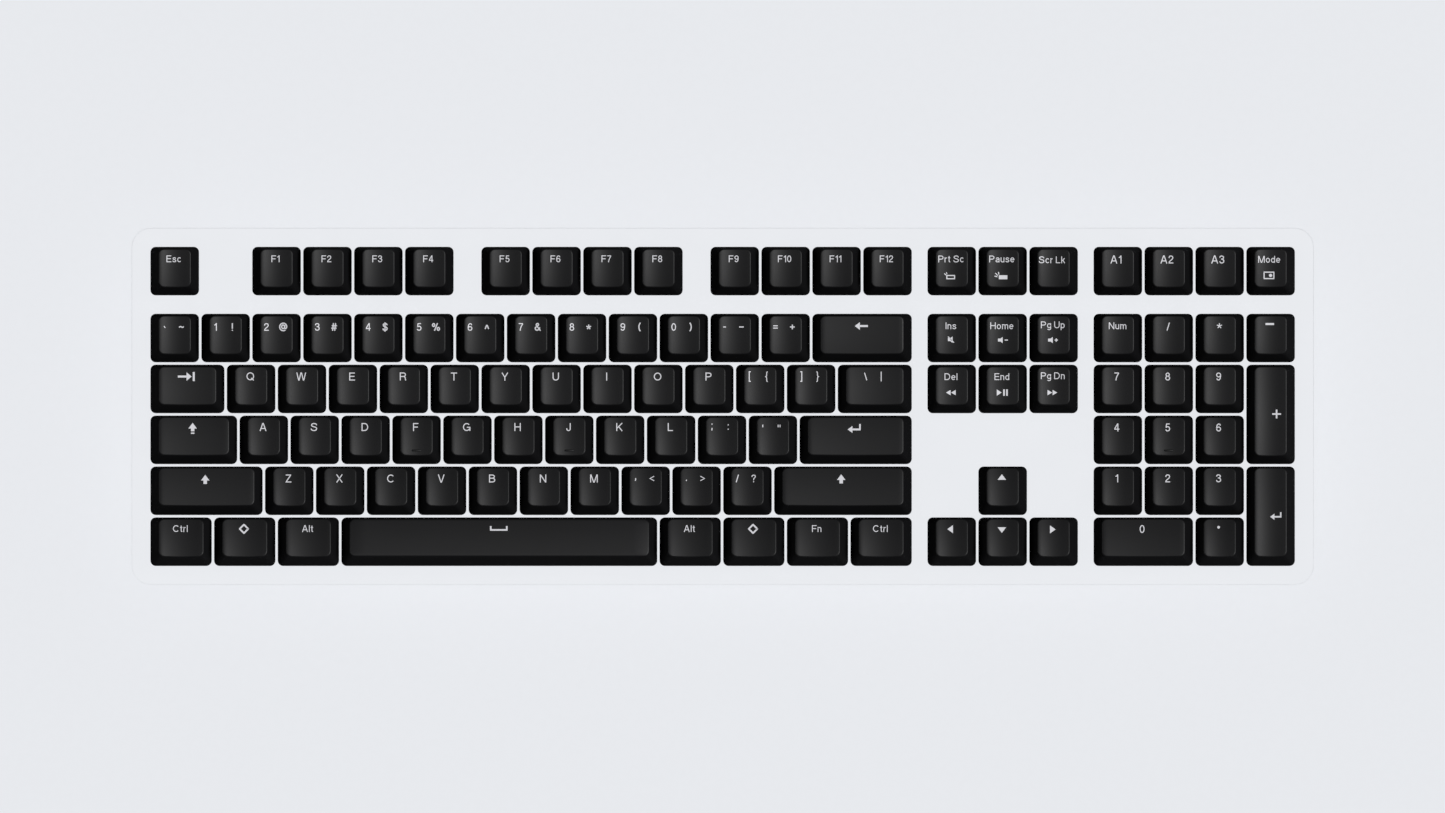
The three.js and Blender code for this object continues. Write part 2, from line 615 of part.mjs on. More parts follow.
// The silicone filler takes up the space between the tray's floor and the board's pins.
function fillerPad() {
  const inset = TRAY_WALL + 2 * GAP;
  let pad = solid(
    prism(
      roundedRectangle(trayWidth - 2 * inset, trayDepth - 2 * inset, trayRadius - TRAY_WALL),
      PAD_LIFT + TRAY_FLOOR + GAP,
      trayTop,
      { curveSegments: 2 },
    ),
  ).subtract(deckPlane(FILLER_DROP));
  for (const x of Object.values(footSides)) {
    const high = footAxis.z + FOOT.barrel + FOOT_CLEARANCE + TRAY_FLOOR + GAP;
    const margin = pocketWidth / 2 + TRAY_WALL + GAP;
    pad = pad.subtract(
      block(
        [x - margin, footAxis.y - FOOT.length - 2 * FOOT_CLEARANCE - TRAY_WALL - GAP, 0],
        [x + margin, footAxis.y + FOOT.barrel + FOOT_CLEARANCE + TRAY_WALL + GAP, high],
      ),
    );
  }
  for (const place of Object.values(screwPlaces())) pad = pad.subtract(screwBoss(place, 2 * GAP));
  const roomForUsb = USB_RECESS.width / 2;
  return pad.subtract(
    block([USB.across - roomForUsb, trayBack - 2 * USB.depth, usbHeight - USB_RECESS.height / 2], [
      USB.across + roomForUsb,
      trayBack,
      trayTop,
    ]),
  );
}

// A folding foot about its own axis, folded forwards: a hinge barrel with a ribbed leaf.
function foot() {
  const half = FOOT.width / 2;
  const tipStart = -FOOT.length + FOOT.tip;
  const leafTop = FOOT.barrel;
  const leaf = block([-half, tipStart - FOOT.tip, leafTop - FOOT.thickness], [half, 0, leafTop]);
  const thumbNotch = rod(FOOT.thickness, FOOT.thickness * 2, [0, -FOOT.length * 0.55, -FOOT.thickness * 1.2]);
  const barrel = rod(FOOT.barrel, FOOT.width, [-half, 0, 0], "x");
  const seat = block([-half - 1, -FOOT.length - 1, -FOOT.barrel - 1], [half + 1, tipStart, leafTop - FOOT.thickness + FOOT_TIP_THICKNESS]);
  const reach = pocketWidth / 2 + TRAY_WALL * 0.6;
  const pegs = rod(FOOT_PEG_RADIUS, 2 * reach, [-reach, 0, 0], "x");
  return leaf.subtract(thumbNotch).add(barrel).subtract(seat).add(pegs);
}

// The rubber tip glued into the seat at the end of a foot.
function footTip() {
  const half = FOOT.width / 2 - GAP;
  const top = FOOT.barrel - FOOT.thickness + FOOT_TIP_THICKNESS - GAP;
  return block([-half, -FOOT.length, -FOOT.barrel + GAP], [half, -FOOT.length + FOOT.tip - GAP, top]);
}

function screw(place) {
  const [x, y, z] = onDesk(place, -STANDOFF.bottom);
  const bottom = PAD_LIFT + GAP / 2;
  const length = z + 2 - bottom;
  const head = rod(SCREW.head, SCREW.headHeight, [x, y, bottom]);
  const drive = rod(SCREW.head / 2.4, SCREW.headHeight, [x, y, bottom - SCREW.headHeight / 2], "z", 6);
  return head.add(rod(SCREW.radius, length, [x, y, bottom], "z", 8)).subtract(drive);
}

// The charging and data socket, about its own middle: a shell open at the back edge, with a tongue inside.
function usbSocket() {
  const outline = roundedRectangle(USB.width, USB.height, USB.height / 2 - 0.05);
  const hollow = roundedRectangle(
    USB.width - 2 * USB.wall,
    USB.height - 2 * USB.wall,
    USB.height / 2 - USB.wall - 0.05,
  );
  const shell = solid(prism(outline, 0, USB.depth)).subtract(solid(prism(hollow, 1, USB.depth)));
  const tongue = block([-USB.width / 3, -USB.tongue / 2, 0.5], [USB.width / 3, USB.tongue / 2, USB.depth - 1]);
  return shell.add(tongue);
}

function addPiece(parent, name, body, material) {
  const mesh = new THREE.Mesh(geometryOf(body), material);
  mesh.name = name;
  parent.add(mesh);
  return mesh;
}

const keyboard = new THREE.Group();
const deck = new THREE.Group();
deck.position.z = deckHeight;
deck.rotation.x = tilt;
keyboard.add(deck);

addPiece(deck, "switch_plate", switchPlate(), materials.plate);
addPiece(deck, "circuit_board", circuitBoardWithSwitches(), materials.board);
for (const key of keys.filter(travels)) addPiece(deck, "key_" + key.name, keycap(key), materials.keyPlastic);
for (const key of stabilised) {
  const wire = addPiece(deck, key.name + "_wire", stabiliserWire(key), materials.steel);
  wire.position.set(key.x, key.y - WIRE_ARM, WIRE_HEIGHT);
}
const chip = addPiece(
  deck,
  "controller_chip",
  block([-CHIP.size / 2, -CHIP.size / 2, 0], [CHIP.size / 2, CHIP.size / 2, CHIP.height]),
  materials.chip,
);
chip.position.set(CHIP.across, 0, BOARD_TOP - BOARD_THICKNESS - GAP - CHIP.height);
const socket = addPiece(deck, "usb_socket", usbSocket(), materials.steel);
socket.rotation.x = -Math.PI / 2;
socket.position.set(
  USB.across,
  plateDepth / 2 - TRAY_INSET - TRAY_WALL - USB.setBack - USB.depth,
  BOARD_TOP - BOARD_THICKNESS - GAP - USB.height / 2,
);

addPiece(keyboard, "bottom_tray", bottomTray(), materials.tray);
addPiece(keyboard, "silicone_filler", fillerPad(), materials.silicone);
stripRows().forEach((y, i) => addPiece(keyboard, ["front_strip", "rear_strip"][i], stripBody(y), materials.rubber));
for (const [place, at] of Object.entries(screwPlaces())) addPiece(keyboard, place + "_screw", screw(at), materials.steel);
for (const [side, x] of Object.entries(footSides)) {
  const pieces = [
    addPiece(keyboard, side + "_foot", foot(), materials.tray),
    addPiece(keyboard, side + "_foot_tip", footTip(), materials.rubber),
  ];
  for (const piece of pieces) piece.position.set(x, footAxis.y, footAxis.z);
}

// Stand the whole keyboard on its bottom centre.
const bounds = new THREE.Box3().setFromObject(keyboard);
const middle = bounds.getCenter(new THREE.Vector3());
keyboard.position.set(-middle.x, -middle.y, -bounds.min.z);

export default keyboard;
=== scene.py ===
"""A full-size mechanical keyboard: 108 sculpted key tops on raised switches over a pale plate and tray.

Sizes are in millimetres. Pieces on the tilted deck are made flat, with z = 0 at the top of the switch plate,
and then placed by the deck's own matrix, so that every finished piece has its place in its mesh."""

import json
import math

import bmesh
import bpy
from mathutils import Matrix, Vector


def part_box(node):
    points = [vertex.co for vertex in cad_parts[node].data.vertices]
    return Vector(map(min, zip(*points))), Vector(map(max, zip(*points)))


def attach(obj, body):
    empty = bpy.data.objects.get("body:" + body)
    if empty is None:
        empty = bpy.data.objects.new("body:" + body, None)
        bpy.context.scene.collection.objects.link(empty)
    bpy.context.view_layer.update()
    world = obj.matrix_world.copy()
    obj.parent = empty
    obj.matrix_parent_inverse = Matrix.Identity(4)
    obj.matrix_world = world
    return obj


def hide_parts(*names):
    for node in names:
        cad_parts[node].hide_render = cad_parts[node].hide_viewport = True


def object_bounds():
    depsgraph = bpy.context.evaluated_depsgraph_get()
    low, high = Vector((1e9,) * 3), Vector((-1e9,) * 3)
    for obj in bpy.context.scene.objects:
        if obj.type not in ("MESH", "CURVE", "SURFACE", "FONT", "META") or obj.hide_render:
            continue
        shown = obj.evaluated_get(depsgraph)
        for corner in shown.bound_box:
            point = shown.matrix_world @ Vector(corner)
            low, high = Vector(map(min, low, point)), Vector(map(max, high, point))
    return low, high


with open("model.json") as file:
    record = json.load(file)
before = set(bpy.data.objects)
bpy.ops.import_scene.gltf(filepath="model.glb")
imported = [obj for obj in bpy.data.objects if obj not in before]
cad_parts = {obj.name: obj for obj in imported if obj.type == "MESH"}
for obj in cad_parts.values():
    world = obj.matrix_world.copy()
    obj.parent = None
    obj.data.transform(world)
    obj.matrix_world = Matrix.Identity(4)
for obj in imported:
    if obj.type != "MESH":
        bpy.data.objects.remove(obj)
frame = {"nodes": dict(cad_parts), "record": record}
cad_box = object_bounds()

MM = 0.001

# ---- the key field ----------------------------------------------------------------------------

UNIT = 19.05
KEY_GAP = 1.07
FUNCTION_ROW_GAP = 6
CLUSTER_GAP = 5
FIELD_WIDTH = 22 * UNIT + 2 * CLUSTER_GAP - KEY_GAP
FIELD_DEPTH = 6 * UNIT + FUNCTION_ROW_GAP - KEY_GAP
BLOCK_STARTS = (0, 15 * UNIT + CLUSTER_GAP, 18 * UNIT + 2 * CLUSTER_GAP)

WIDTHS = {
    "backspace": 2, "tab": 1.5, "backslash": 1.5, "caps_lock": 1.75, "enter": 2.25, "left_shift": 2.25,
    "right_shift": 2.75, "left_control": 1.25, "left_super": 1.25, "left_alt": 1.25, "space": 6.25,
    "right_alt": 1.25, "right_super": 1.25, "function": 1.25, "right_control": 1.25, "pad_0": 2,
}
TALL = {"pad_plus": 2, "pad_enter": 2}
ROWS = (
    ("escape 1 f1 f2 f3 f4 0.5 f5 f6 f7 f8 0.5 f9 f10 f11 f12",
     "print_screen pause scroll_lock", "extra_1 extra_2 extra_3 mode"),
    ("grave digit_1 digit_2 digit_3 digit_4 digit_5 digit_6 digit_7 digit_8 digit_9 digit_0 minus equals backspace",
     "insert home page_up", "num_lock pad_divide pad_multiply pad_minus"),
    ("tab q w e r t y u i o p left_bracket right_bracket backslash",
     "delete end page_down", "pad_7 pad_8 pad_9 pad_plus"),
    ("caps_lock a s d f g h j k l semicolon quote enter", "", "pad_4 pad_5 pad_6"),
    ("left_shift z x c v b n m comma period slash right_shift", "1 up", "pad_1 pad_2 pad_3 pad_enter"),
    ("left_control left_super left_alt space right_alt right_super function right_control",
     "left down right", "pad_0 pad_point"),
)
# Height at the middle of the top, tilt in degrees (positive leans towards the typist), and how far the top
# stands in from the skirt at the back and at the front.
PROFILES = (
    (11.6, 5, 0.8, 3.1), (11.2, 3, 0.7, 3.1), (9.5, -1, 0.7, 3.2),
    (9.1, -6, 0.5, 3.4), (9.3, -8, 0.4, 3.6), (9.4, -9, 0.5, 3.6),
)
TOP_INSET = 3.0
SKIRT_LIFT = 5.8
KEY_WALL = 1.3
KEY_CEILING = 6.3
SKIRT_RADIUS = 1.9
SKIRT_FLARE = 0.08
TOP_FILLET = 0.4
DISH = 0.75
LEFT_ROLL = (0.1, 1.1)  # how far the top rolls down to its left edge, and over what width
SPACE_DOME = 0.35
TRAVEL = 4
# A switch housing from its foot up and down into its well: width, depth, height above the plate
HOUSING_LEVELS = (
    (13.4, 13.4, -5.1), (13.4, 13.4, 0.02), (15.6, 15.6, 0.02), (15.6, 15.6, 0.9), (13.6, 13.8, 1.3),
    (11.4, 11.0, 6.3), (10.8, 10.4, 6.6), (7.2, 5.8, 6.6), (7.2, 5.8, -3.8),
)
STEM_WIDTH, STEM_DEPTH, STEM_BOTTOM = 6.4, 5, 1.0
STEM_ROOT = 0.4  # how far the stem and posts run into the key top above its ceiling
PLATE_THICKNESS = 1.5
BOARD_TOP, BOARD_THICKNESS, BOARD_MARGIN = -5, 1.6, 2.6
STABILISER_SPREAD = 11.94
SPACE_BAR_SPREAD = 50
POST_BOTTOM = -2.8  # of the stabiliser posts, above the plate
WIRE_ARM = 9.5
WIRE_HEIGHT = -2.6
HOOK_HEIGHT = WIRE_HEIGHT + TRAVEL / 2

# ---- legends ----------------------------------------------------------------------------------
# Text: (string, height of a capital, x, y of the middle of its box) from the middle of the key, and for a
# bolder character how many times heavier its strokes are.
# Icon strokes: ("bar", x, y, length, thickness, degrees), ("wedge", x, y, width, height, degrees), a triangle
# that points along +X when unturned, and ("dot", x, y, diameter).


class Key:
    """One key: where its middle is on the deck, its size, and the shape of its top."""

    def __init__(self, name, row, block, x, y, width, depth):
        self.name, self.row, self.block = name, row, block
        self.x, self.y, self.width, self.depth = x, y, width, depth
        self.height, tilt, self.back, self.front = PROFILES[row]
        self.slope = math.tan(math.radians(tilt / 3 if depth > UNIT else tilt))
        self.moves = (block == 0 and 2 <= row <= 4) or name == "space"
        self.half_top = width / 2 - TOP_INSET
        self.top_depth = depth - self.back - self.front
        self.dish = max(0.46, DISH - 0.5 * max(0, width / UNIT - 1.2))  # wide keys are hollowed less
        self.top_y = (self.front - self.back) / 2

    def dip(self, x, y):
        """How far the hollow lowers the top at a place on it. The space bar is domed instead."""
        if self.name == "space":
            return SPACE_DOME * ((y - self.top_y) / (self.top_depth / 2)) ** 2
        roll = LEFT_ROLL[0] * max(0, 1 - (x + self.half_top) / LEFT_ROLL[1]) ** 2
        return self.dish * (1 - min(1.0, (x / self.half_top) ** 2)) + min(roll, 2 * LEFT_ROLL[0])

    def top(self, x, y):
        return self.height + self.slope * (y - self.top_y) - self.dip(x, y)


def lay_out_keys():
    keys = {}
    for row, blocks in enumerate(ROWS):
        back = FIELD_DEPTH / 2 - row * UNIT - (FUNCTION_ROW_GAP if row else 0)
        for block, names in enumerate(blocks):
            left = BLOCK_STARTS[block] - FIELD_WIDTH / 2
            for name in names.split():
                if name[0].isdigit():
                    left += float(name) * UNIT
                    continue
                width = WIDTHS.get(name, 1) * UNIT - KEY_GAP
                depth = TALL.get(name, 1) * UNIT - KEY_GAP
                keys[name] = Key(name, row, block, left + width / 2, back - depth / 2, width, depth)
                left += width + KEY_GAP
    return keys


keys = lay_out_keys()


def spread_of(key):
    """From the middle of a wide key to each of its stabiliser posts."""
    return SPACE_BAR_SPREAD if key.name == "space" else STABILISER_SPREAD


def post_sides(key):
    return (-1, 1) if key.moves and key.width > 2 * UNIT else ()



# The deck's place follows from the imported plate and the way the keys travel.
press = next(joint for joint in frame["record"]["behaviour"]["joints"] if joint["name"] == "q_press")["axis"]
tilt = math.asin(press[1])
plate_low, plate_high = (Vector(corner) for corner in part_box("switch_plate"))
plate_depth = (plate_high.y - plate_low.y - PLATE_THICKNESS * MM * math.sin(tilt)) / math.cos(tilt)
deck = (
    Matrix.Translation(
        (
            (plate_low.x + plate_high.x) / 2,
            plate_low.y + plate_depth / 2 * math.cos(tilt),
            plate_high.z - plate_depth / 2 * math.sin(tilt),
        )
    )
    @ Matrix.Rotation(tilt, 4, "X")
    @ Matrix.Scale(MM, 4)
)

# ---- materials --------------------------------------------------------------------------------


def linear(code):
    """An sRGB hex colour as the linear RGBA that shaders take."""
    parts = [int(code[i : i + 2], 16) / 255 for i in (1, 3, 5)]
    return [c / 12.92 if c <= 0.04045 else ((c + 0.055) / 1.055) ** 2.4 for c in parts] + [1]


def add_node(tree, kind, inputs=None, **settings):
    """Adds a node with its settings; an input takes a value or another node's output."""
    node = tree.nodes.new(kind)
    for name, value in settings.items():
        setattr(node, name, value)
    for name, value in (inputs or {}).items():
        if isinstance(value, bpy.types.NodeSocket):
            tree.links.new(value, node.inputs[name])
        else:
            node.inputs[name].default_value = value
    return node


def new_material(name):
    material = bpy.data.materials.new(name)
    material.use_nodes = True
    tree = material.node_tree
    tree.nodes.clear()
    place = add_node(tree, "ShaderNodeTexCoord").outputs["Object"]
    return material, tree, place


def finish_material(tree, shader):
    add_node(tree, "ShaderNodeOutputMaterial", {"Surface": shader.outputs[0]})


def moulded_plastic(name, low, high, grain, roughness, variation, depth, ior, specular=0.5):
    """Injection-moulded plastic: a spark-eroded grain, in mm, over colour that hardly varies."""
    material, tree, place = new_material(name)
    cloud = add_node(tree, "ShaderNodeTexNoise", {"Vector": place, "Scale": 1 / (14 * MM), "Detail": 3})
    colour = add_node(
        tree, "ShaderNodeMix", {0: cloud.outputs[0], 6: linear(low), 7: linear(high)}, data_type="RGBA"
    )
    pits = add_node(
        tree, "ShaderNodeTexNoise", {"Vector": place, "Scale": 1 / (grain * MM), "Detail": 2, "Roughness": 0.6}
    )
    rough = add_node(
        tree,
        "ShaderNodeMapRange",
        {"Value": pits.outputs[0], "From Min": 0.3, "From Max": 0.7,
         "To Min": roughness - variation, "To Max": roughness + variation},
    )
    bump = add_node(
        tree, "ShaderNodeBump", {"Height": pits.outputs[0], "Strength": 1.0, "Distance": depth * MM}
    )
    shader = add_node(
        tree,
        "ShaderNodeBsdfPrincipled",
        {"Base Color": colour.outputs[2], "Roughness": rough.outputs[0], "Normal": bump.outputs[0],
         "IOR": ior, "Specular IOR Level": specular},
    )
    finish_material(tree, shader)
    return material


# Second-shot ABS from a spark-eroded mould: near-black with a low sheen. The real grain is about 0.05 mm;
# it is drawn at 0.22 mm so that it shows close up.
black_abs = moulded_plastic("black_moulded_abs", "#0B0B0C", "#0F0F11", 0.22, 0.5, 0.05, 0.004, 1.46, 0.3)
# First-shot ABS that shows as the legends: light grey and a little smoother, since the tool polishes it.
legend_abs = moulded_plastic("light_grey_legend_abs", "#C6C6CB", "#CFCFD3", 0.3, 0.5, 0.05, 0.002, 1.5)
# Glass-filled nylon of the switches: dark, dull and slightly mottled.
black_nylon = moulded_plastic("black_nylon", "#17181A", "#1E1F22", 0.3, 0.5, 0.08, 0.006, 1.53)
# Polycarbonate and ABS blend of the tray: mid grey with the fine grain of a computer housing.
grey_housing = moulded_plastic("grey_moulded_housing", "#66686B", "#6E7073", 0.35, 0.6, 0.06, 0.006, 1.5)
# Grey moulded silicone rubber of the strips and foot tips.
grey_rubber = moulded_plastic("grey_silicone_rubber", "#75777C", "#818388", 0.5, 0.8, 0.08, 0.012, 1.42)
# Powder coat on the aluminium plate: pale, even, with a faint orange peel.
powder_coat = moulded_plastic("pale_powder_coat", "#E4E6EA", "#E6E8EC", 0.9, 0.8, 0.04, 0.004, 1.5, 0.3)
# Fibreglass board under a dark solder mask.
solder_mask = moulded_plastic("dark_solder_mask", "#0E1512", "#14201B", 1.2, 0.35, 0.08, 0.003, 1.5)


def turned_steel(name, colour, grain):
    """Zinc-plated steel with fine tool marks, which stretch its highlights."""
    material, tree, place = new_material(name)
    stretched = add_node(tree, "ShaderNodeMapping", {"Vector": place, "Scale": (1, 1, 12)})
    marks = add_node(
        tree, "ShaderNodeTexNoise", {"Vector": stretched.outputs[0], "Scale": 1 / (grain * MM), "Detail": 2}
    )
    rough = add_node(tree, "ShaderNodeMapRange", {"Value": marks.outputs[0], "To Min": 0.22, "To Max": 0.42})
    tint = add_node(
        tree, "ShaderNodeMix", {0: marks.outputs[0], 6: linear(colour), 7: linear("#C9CACC")}, data_type="RGBA"
    )
    shader = add_node(
        tree,
        "ShaderNodeBsdfPrincipled",
        {"Base Color": tint.outputs[2], "Roughness": rough.outputs[0], "Metallic": 1.0},
    )
    finish_material(tree, shader)
    return material


plated_steel = turned_steel("zinc_plated_steel", "#B4B6B9", 0.8)

# ---- finishing a piece ------------------------------------------------------------------------


def place_piece(name, bm, materials, body, matrix=deck, sharp=32):
    """Turns a bmesh in millimetres into a finished piece that rides on a CAD body."""
    bmesh.ops.transform(bm, matrix=matrix, verts=bm.verts)
    mesh = bpy.data.meshes.new(name)
    bm.to_mesh(mesh)
    bm.free()
    for material in materials:
        mesh.materials.append(material)
    mesh.shade_smooth()
    mesh.set_sharp_from_angle(angle=math.radians(sharp))
    piece = bpy.data.objects.new(name, mesh)
    bpy.context.scene.collection.objects.link(piece)
    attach(piece, body)
    return piece


def cut_across(bm, places, axis="x", above=None):
    """Cuts faces along planes across x or y: all of them, or only those that lie above a height."""
    normal = (1, 0, 0) if axis == "x" else (0, 1, 0)
    for place in places:
        faces = bm.faces[:] if above is None else [f for f in bm.faces if min(v.co.z for v in f.verts) > above]
        edges = {e for f in faces for e in f.edges}
        verts = {v for f in faces for v in f.verts}
        bmesh.ops.bisect_plane(
            bm,
            geom=[*verts, *edges, *faces],
            plane_co=[place * n for n in normal],
            plane_no=normal,
            dist=1e-4,
        )


def strip_places(key):
    """Where a hollow top is cut into strips, closer together towards its sides."""
    if key.name == "space":
        return [-50, -25, 0, 25, 50]  # a straight dome needs few cuts
    count = max(16, min(28, round(2 * key.half_top / 0.75)))
    return [math.sin((i / count - 0.5) * math.pi) * key.half_top for i in range(1, count)]


# ---- key tops ---------------------------------------------------------------------------------


def key_shell(key):
    """A hollow key top on its skirt at z = 0: tapered box, round corners, soft rim, dished top, hollow inside."""
    bm = bmesh.new()
    bmesh.ops.create_cube(bm, size=1)
    bmesh.ops.scale(bm, vec=(key.width, key.depth, key.height), verts=bm.verts)
    bmesh.ops.translate(bm, vec=(0, 0, key.height / 2), verts=bm.verts)
    upper = [v for v in bm.verts if v.co.z > key.height / 2]
    bmesh.ops.scale(bm, vec=(2 * key.half_top / key.width, key.top_depth / key.depth, 1), verts=upper)
    lower = [v for v in bm.verts if v not in upper]
    flare = [1 + 2 * SKIRT_FLARE / size for size in (key.width, key.depth)]
    bmesh.ops.scale(bm, vec=(*flare, 1), verts=lower)
    bmesh.ops.translate(bm, vec=(0, key.top_y, 0), verts=upper)
    uprights = [e for e in bm.edges if abs(e.verts[0].co.z - e.verts[1].co.z) > key.height / 2]
    bmesh.ops.bevel(
        bm, geom=uprights, offset=SKIRT_RADIUS, offset_type="OFFSET", segments=6, profile=0.5,
        affect="EDGES", material=-1,
    )
    bottom = [f for f in bm.faces if f.normal.z < -0.9]
    bmesh.ops.delete(bm, geom=bottom, context="FACES_ONLY")
    rim = [e for e in bm.edges if all(v.co.z > key.height - 1e-3 for v in e.verts)]
    bmesh.ops.bevel(
        bm, geom=rim, offset=TOP_FILLET, offset_type="OFFSET", segments=4, profile=0.5,
        affect="EDGES", material=-1,
    )
    wall_top = key.height - 1.6 * TOP_FILLET
    cut_across(bm, strip_places(key), above=wall_top)
    if key.name == "space":
        cut_across(bm, [key.top_y + key.top_depth * i / 14 for i in range(-6, 7)], "y", above=wall_top)
    # Lean the top, and lower it into its hollow. Its front and back edges follow the slope of the walls as they sink.
    for vert in bm.verts:
        if vert.co.z > wall_top:
            x, y = vert.co.x, vert.co.y
            dip = key.dip(x, y)
            reach = (y - key.top_y) / (key.top_depth / 2)
            lean = key.back if reach > 0 else key.front
            vert.co.z += key.slope * (y - key.top_y) - dip
            if key.name != "space":
                vert.co.y += dip * lean / key.height * reach * min(1, abs(reach)) ** 3
    # Turn the skirt's edge in by the wall, and up to the ceiling
    edge = [e for e in bm.edges if e.is_boundary]
    for width, depth, middle, height in (
        (key.width, key.depth, 0, 0),
        (key.width - KEY_CEILING / key.height * 2 * TOP_INSET,
         key.depth - KEY_CEILING / key.height * (key.front + key.back),
         KEY_CEILING / key.height * key.top_y, KEY_CEILING),
    ):
        made = bmesh.ops.extrude_edge_only(bm, edges=edge)["geom"]
        verts = [g for g in made if isinstance(g, bmesh.types.BMVert)]
        edge = [g for g in made if isinstance(g, bmesh.types.BMEdge)]
        spans = [max(v.co[axis] for v in verts) - min(v.co[axis] for v in verts) for axis in (0, 1)]
        target = (width - 2 * KEY_WALL, depth - 2 * KEY_WALL)
        bmesh.ops.scale(bm, vec=(target[0] / spans[0], target[1] / spans[1], 1), verts=verts)
        bmesh.ops.translate(bm, vec=(0, middle, height), verts=verts)
    bmesh.ops.edgeloop_fill(bm, edges=edge)
    bmesh.ops.recalc_face_normals(bm, faces=bm.faces)
    return bm


def pierced(low, high, openings, bottom, top):
    """A plate between two corners with rectangular openings, each ((x, y), (x, y)).

    An opening that passes an edge notches it."""
    bm = bmesh.new()
    bmesh.ops.create_grid(bm, x_segments=1, y_segments=1, size=0.5)
    bmesh.ops.scale(bm, vec=(high[0] - low[0], high[1] - low[1], 1), verts=bm.verts)
    bmesh.ops.translate(bm, vec=((low[0] + high[0]) / 2, (low[1] + high[1]) / 2, bottom), verts=bm.verts)
    for first, second in openings:
        cut_across(bm, (first[0], second[0]))
        cut_across(bm, (first[1], second[1]), "y")
    inside = []
    for face in bm.faces:
        x, y, _ = face.calc_center_median()
        if any(a[0] < x < b[0] and a[1] < y < b[1] for a, b in openings):
            inside.append(face)
    bmesh.ops.delete(bm, geom=inside, context="FACES")
    made = bmesh.ops.extrude_face_region(bm, geom=bm.faces[:])["geom"]
    bmesh.ops.translate(bm, vec=(0, 0, top - bottom), verts=[g for g in made if isinstance(g, bmesh.types.BMVert)])
    bmesh.ops.recalc_face_normals(bm, faces=bm.faces)
    return bm


def add_stem(bm, key):
    """The stem that slides in the switch, and on a wide key the two posts with a window for the wire's hook."""
    stem = pierced(
        (-STEM_WIDTH / 2, -STEM_DEPTH / 2), (STEM_WIDTH / 2, STEM_DEPTH / 2), [],
        STEM_BOTTOM - SKIRT_LIFT, KEY_CEILING + STEM_ROOT,
    )
    bmesh.ops.bevel(
        stem, geom=[e for e in stem.edges if abs(e.verts[0].co.z - e.verts[1].co.z) > 1], offset=0.5,
        segments=3, profile=0.5, affect="EDGES", material=-1,
    )
    join_into(bm, stem)
    for side in post_sides(key):
        window = ((HOOK_HEIGHT - 1.2, -1.5), (HOOK_HEIGHT + 1.2, 1.5))
        post = pierced((POST_BOTTOM, -2.5), (SKIRT_LIFT + KEY_CEILING + STEM_ROOT, 2.5), [window], -2, 2)
        bmesh.ops.rotate(post, matrix=Matrix.Rotation(-math.pi / 2, 3, "Y"), verts=post.verts)
        bmesh.ops.translate(post, vec=(side * spread_of(key), 0, -SKIRT_LIFT), verts=post.verts)
        join_into(bm, post)


def make_key(key):
    bm = key_shell(key)
    add_stem(bm, key)
    if key.name in ("f", "j", "pad_5"):
        add_homing_bar(bm, key)
    add_legend(bm, key)
    bmesh.ops.translate(bm, vec=(key.x, key.y, SKIRT_LIFT), verts=bm.verts)
    body = "key_" + key.name if key.moves else "base"
    piece = place_piece("keytop_" + key.name, bm, [black_abs, legend_abs], body)
    if key.moves:
        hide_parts("key_" + key.name)
    return piece


def add_homing_bar(bm, key):
    """A thin raised bar near the front of the top, with rounded ends and edges."""
    y = -key.depth / 2 + key.front + 1.6
    bar = bmesh.new()
    bmesh.ops.create_cube(bar, size=1)
    bmesh.ops.scale(bar, vec=(3.4, 0.7, 0.7), verts=bar.verts)
    bmesh.ops.bevel(
        bar, geom=bar.edges[:], offset=0.24, segments=3, profile=0.5, affect="EDGES", material=-1
    )
    bmesh.ops.translate(bar, vec=(0, y, key.top(0, y)), verts=bar.verts)
    join_into(bm, bar)


def join_into(bm, other):
    mesh = bpy.data.meshes.new("part")
    other.to_mesh(mesh)
    other.free()
    bm.from_mesh(mesh)
    bpy.data.meshes.remove(mesh)


# ---- legends on the key tops ------------------------------------------------------------------

FUNCTION_SIZE, LETTER_SIZE, DIGIT_SIZE = 2.55, 3.0, 2.85


def shifted(base, upper):
    """A character at the left and its shifted one at the right."""
    return [(base, DIGIT_SIZE, -3.8, 4.15), (upper, DIGIT_SIZE, 2.5, 4.15, 1.3)]


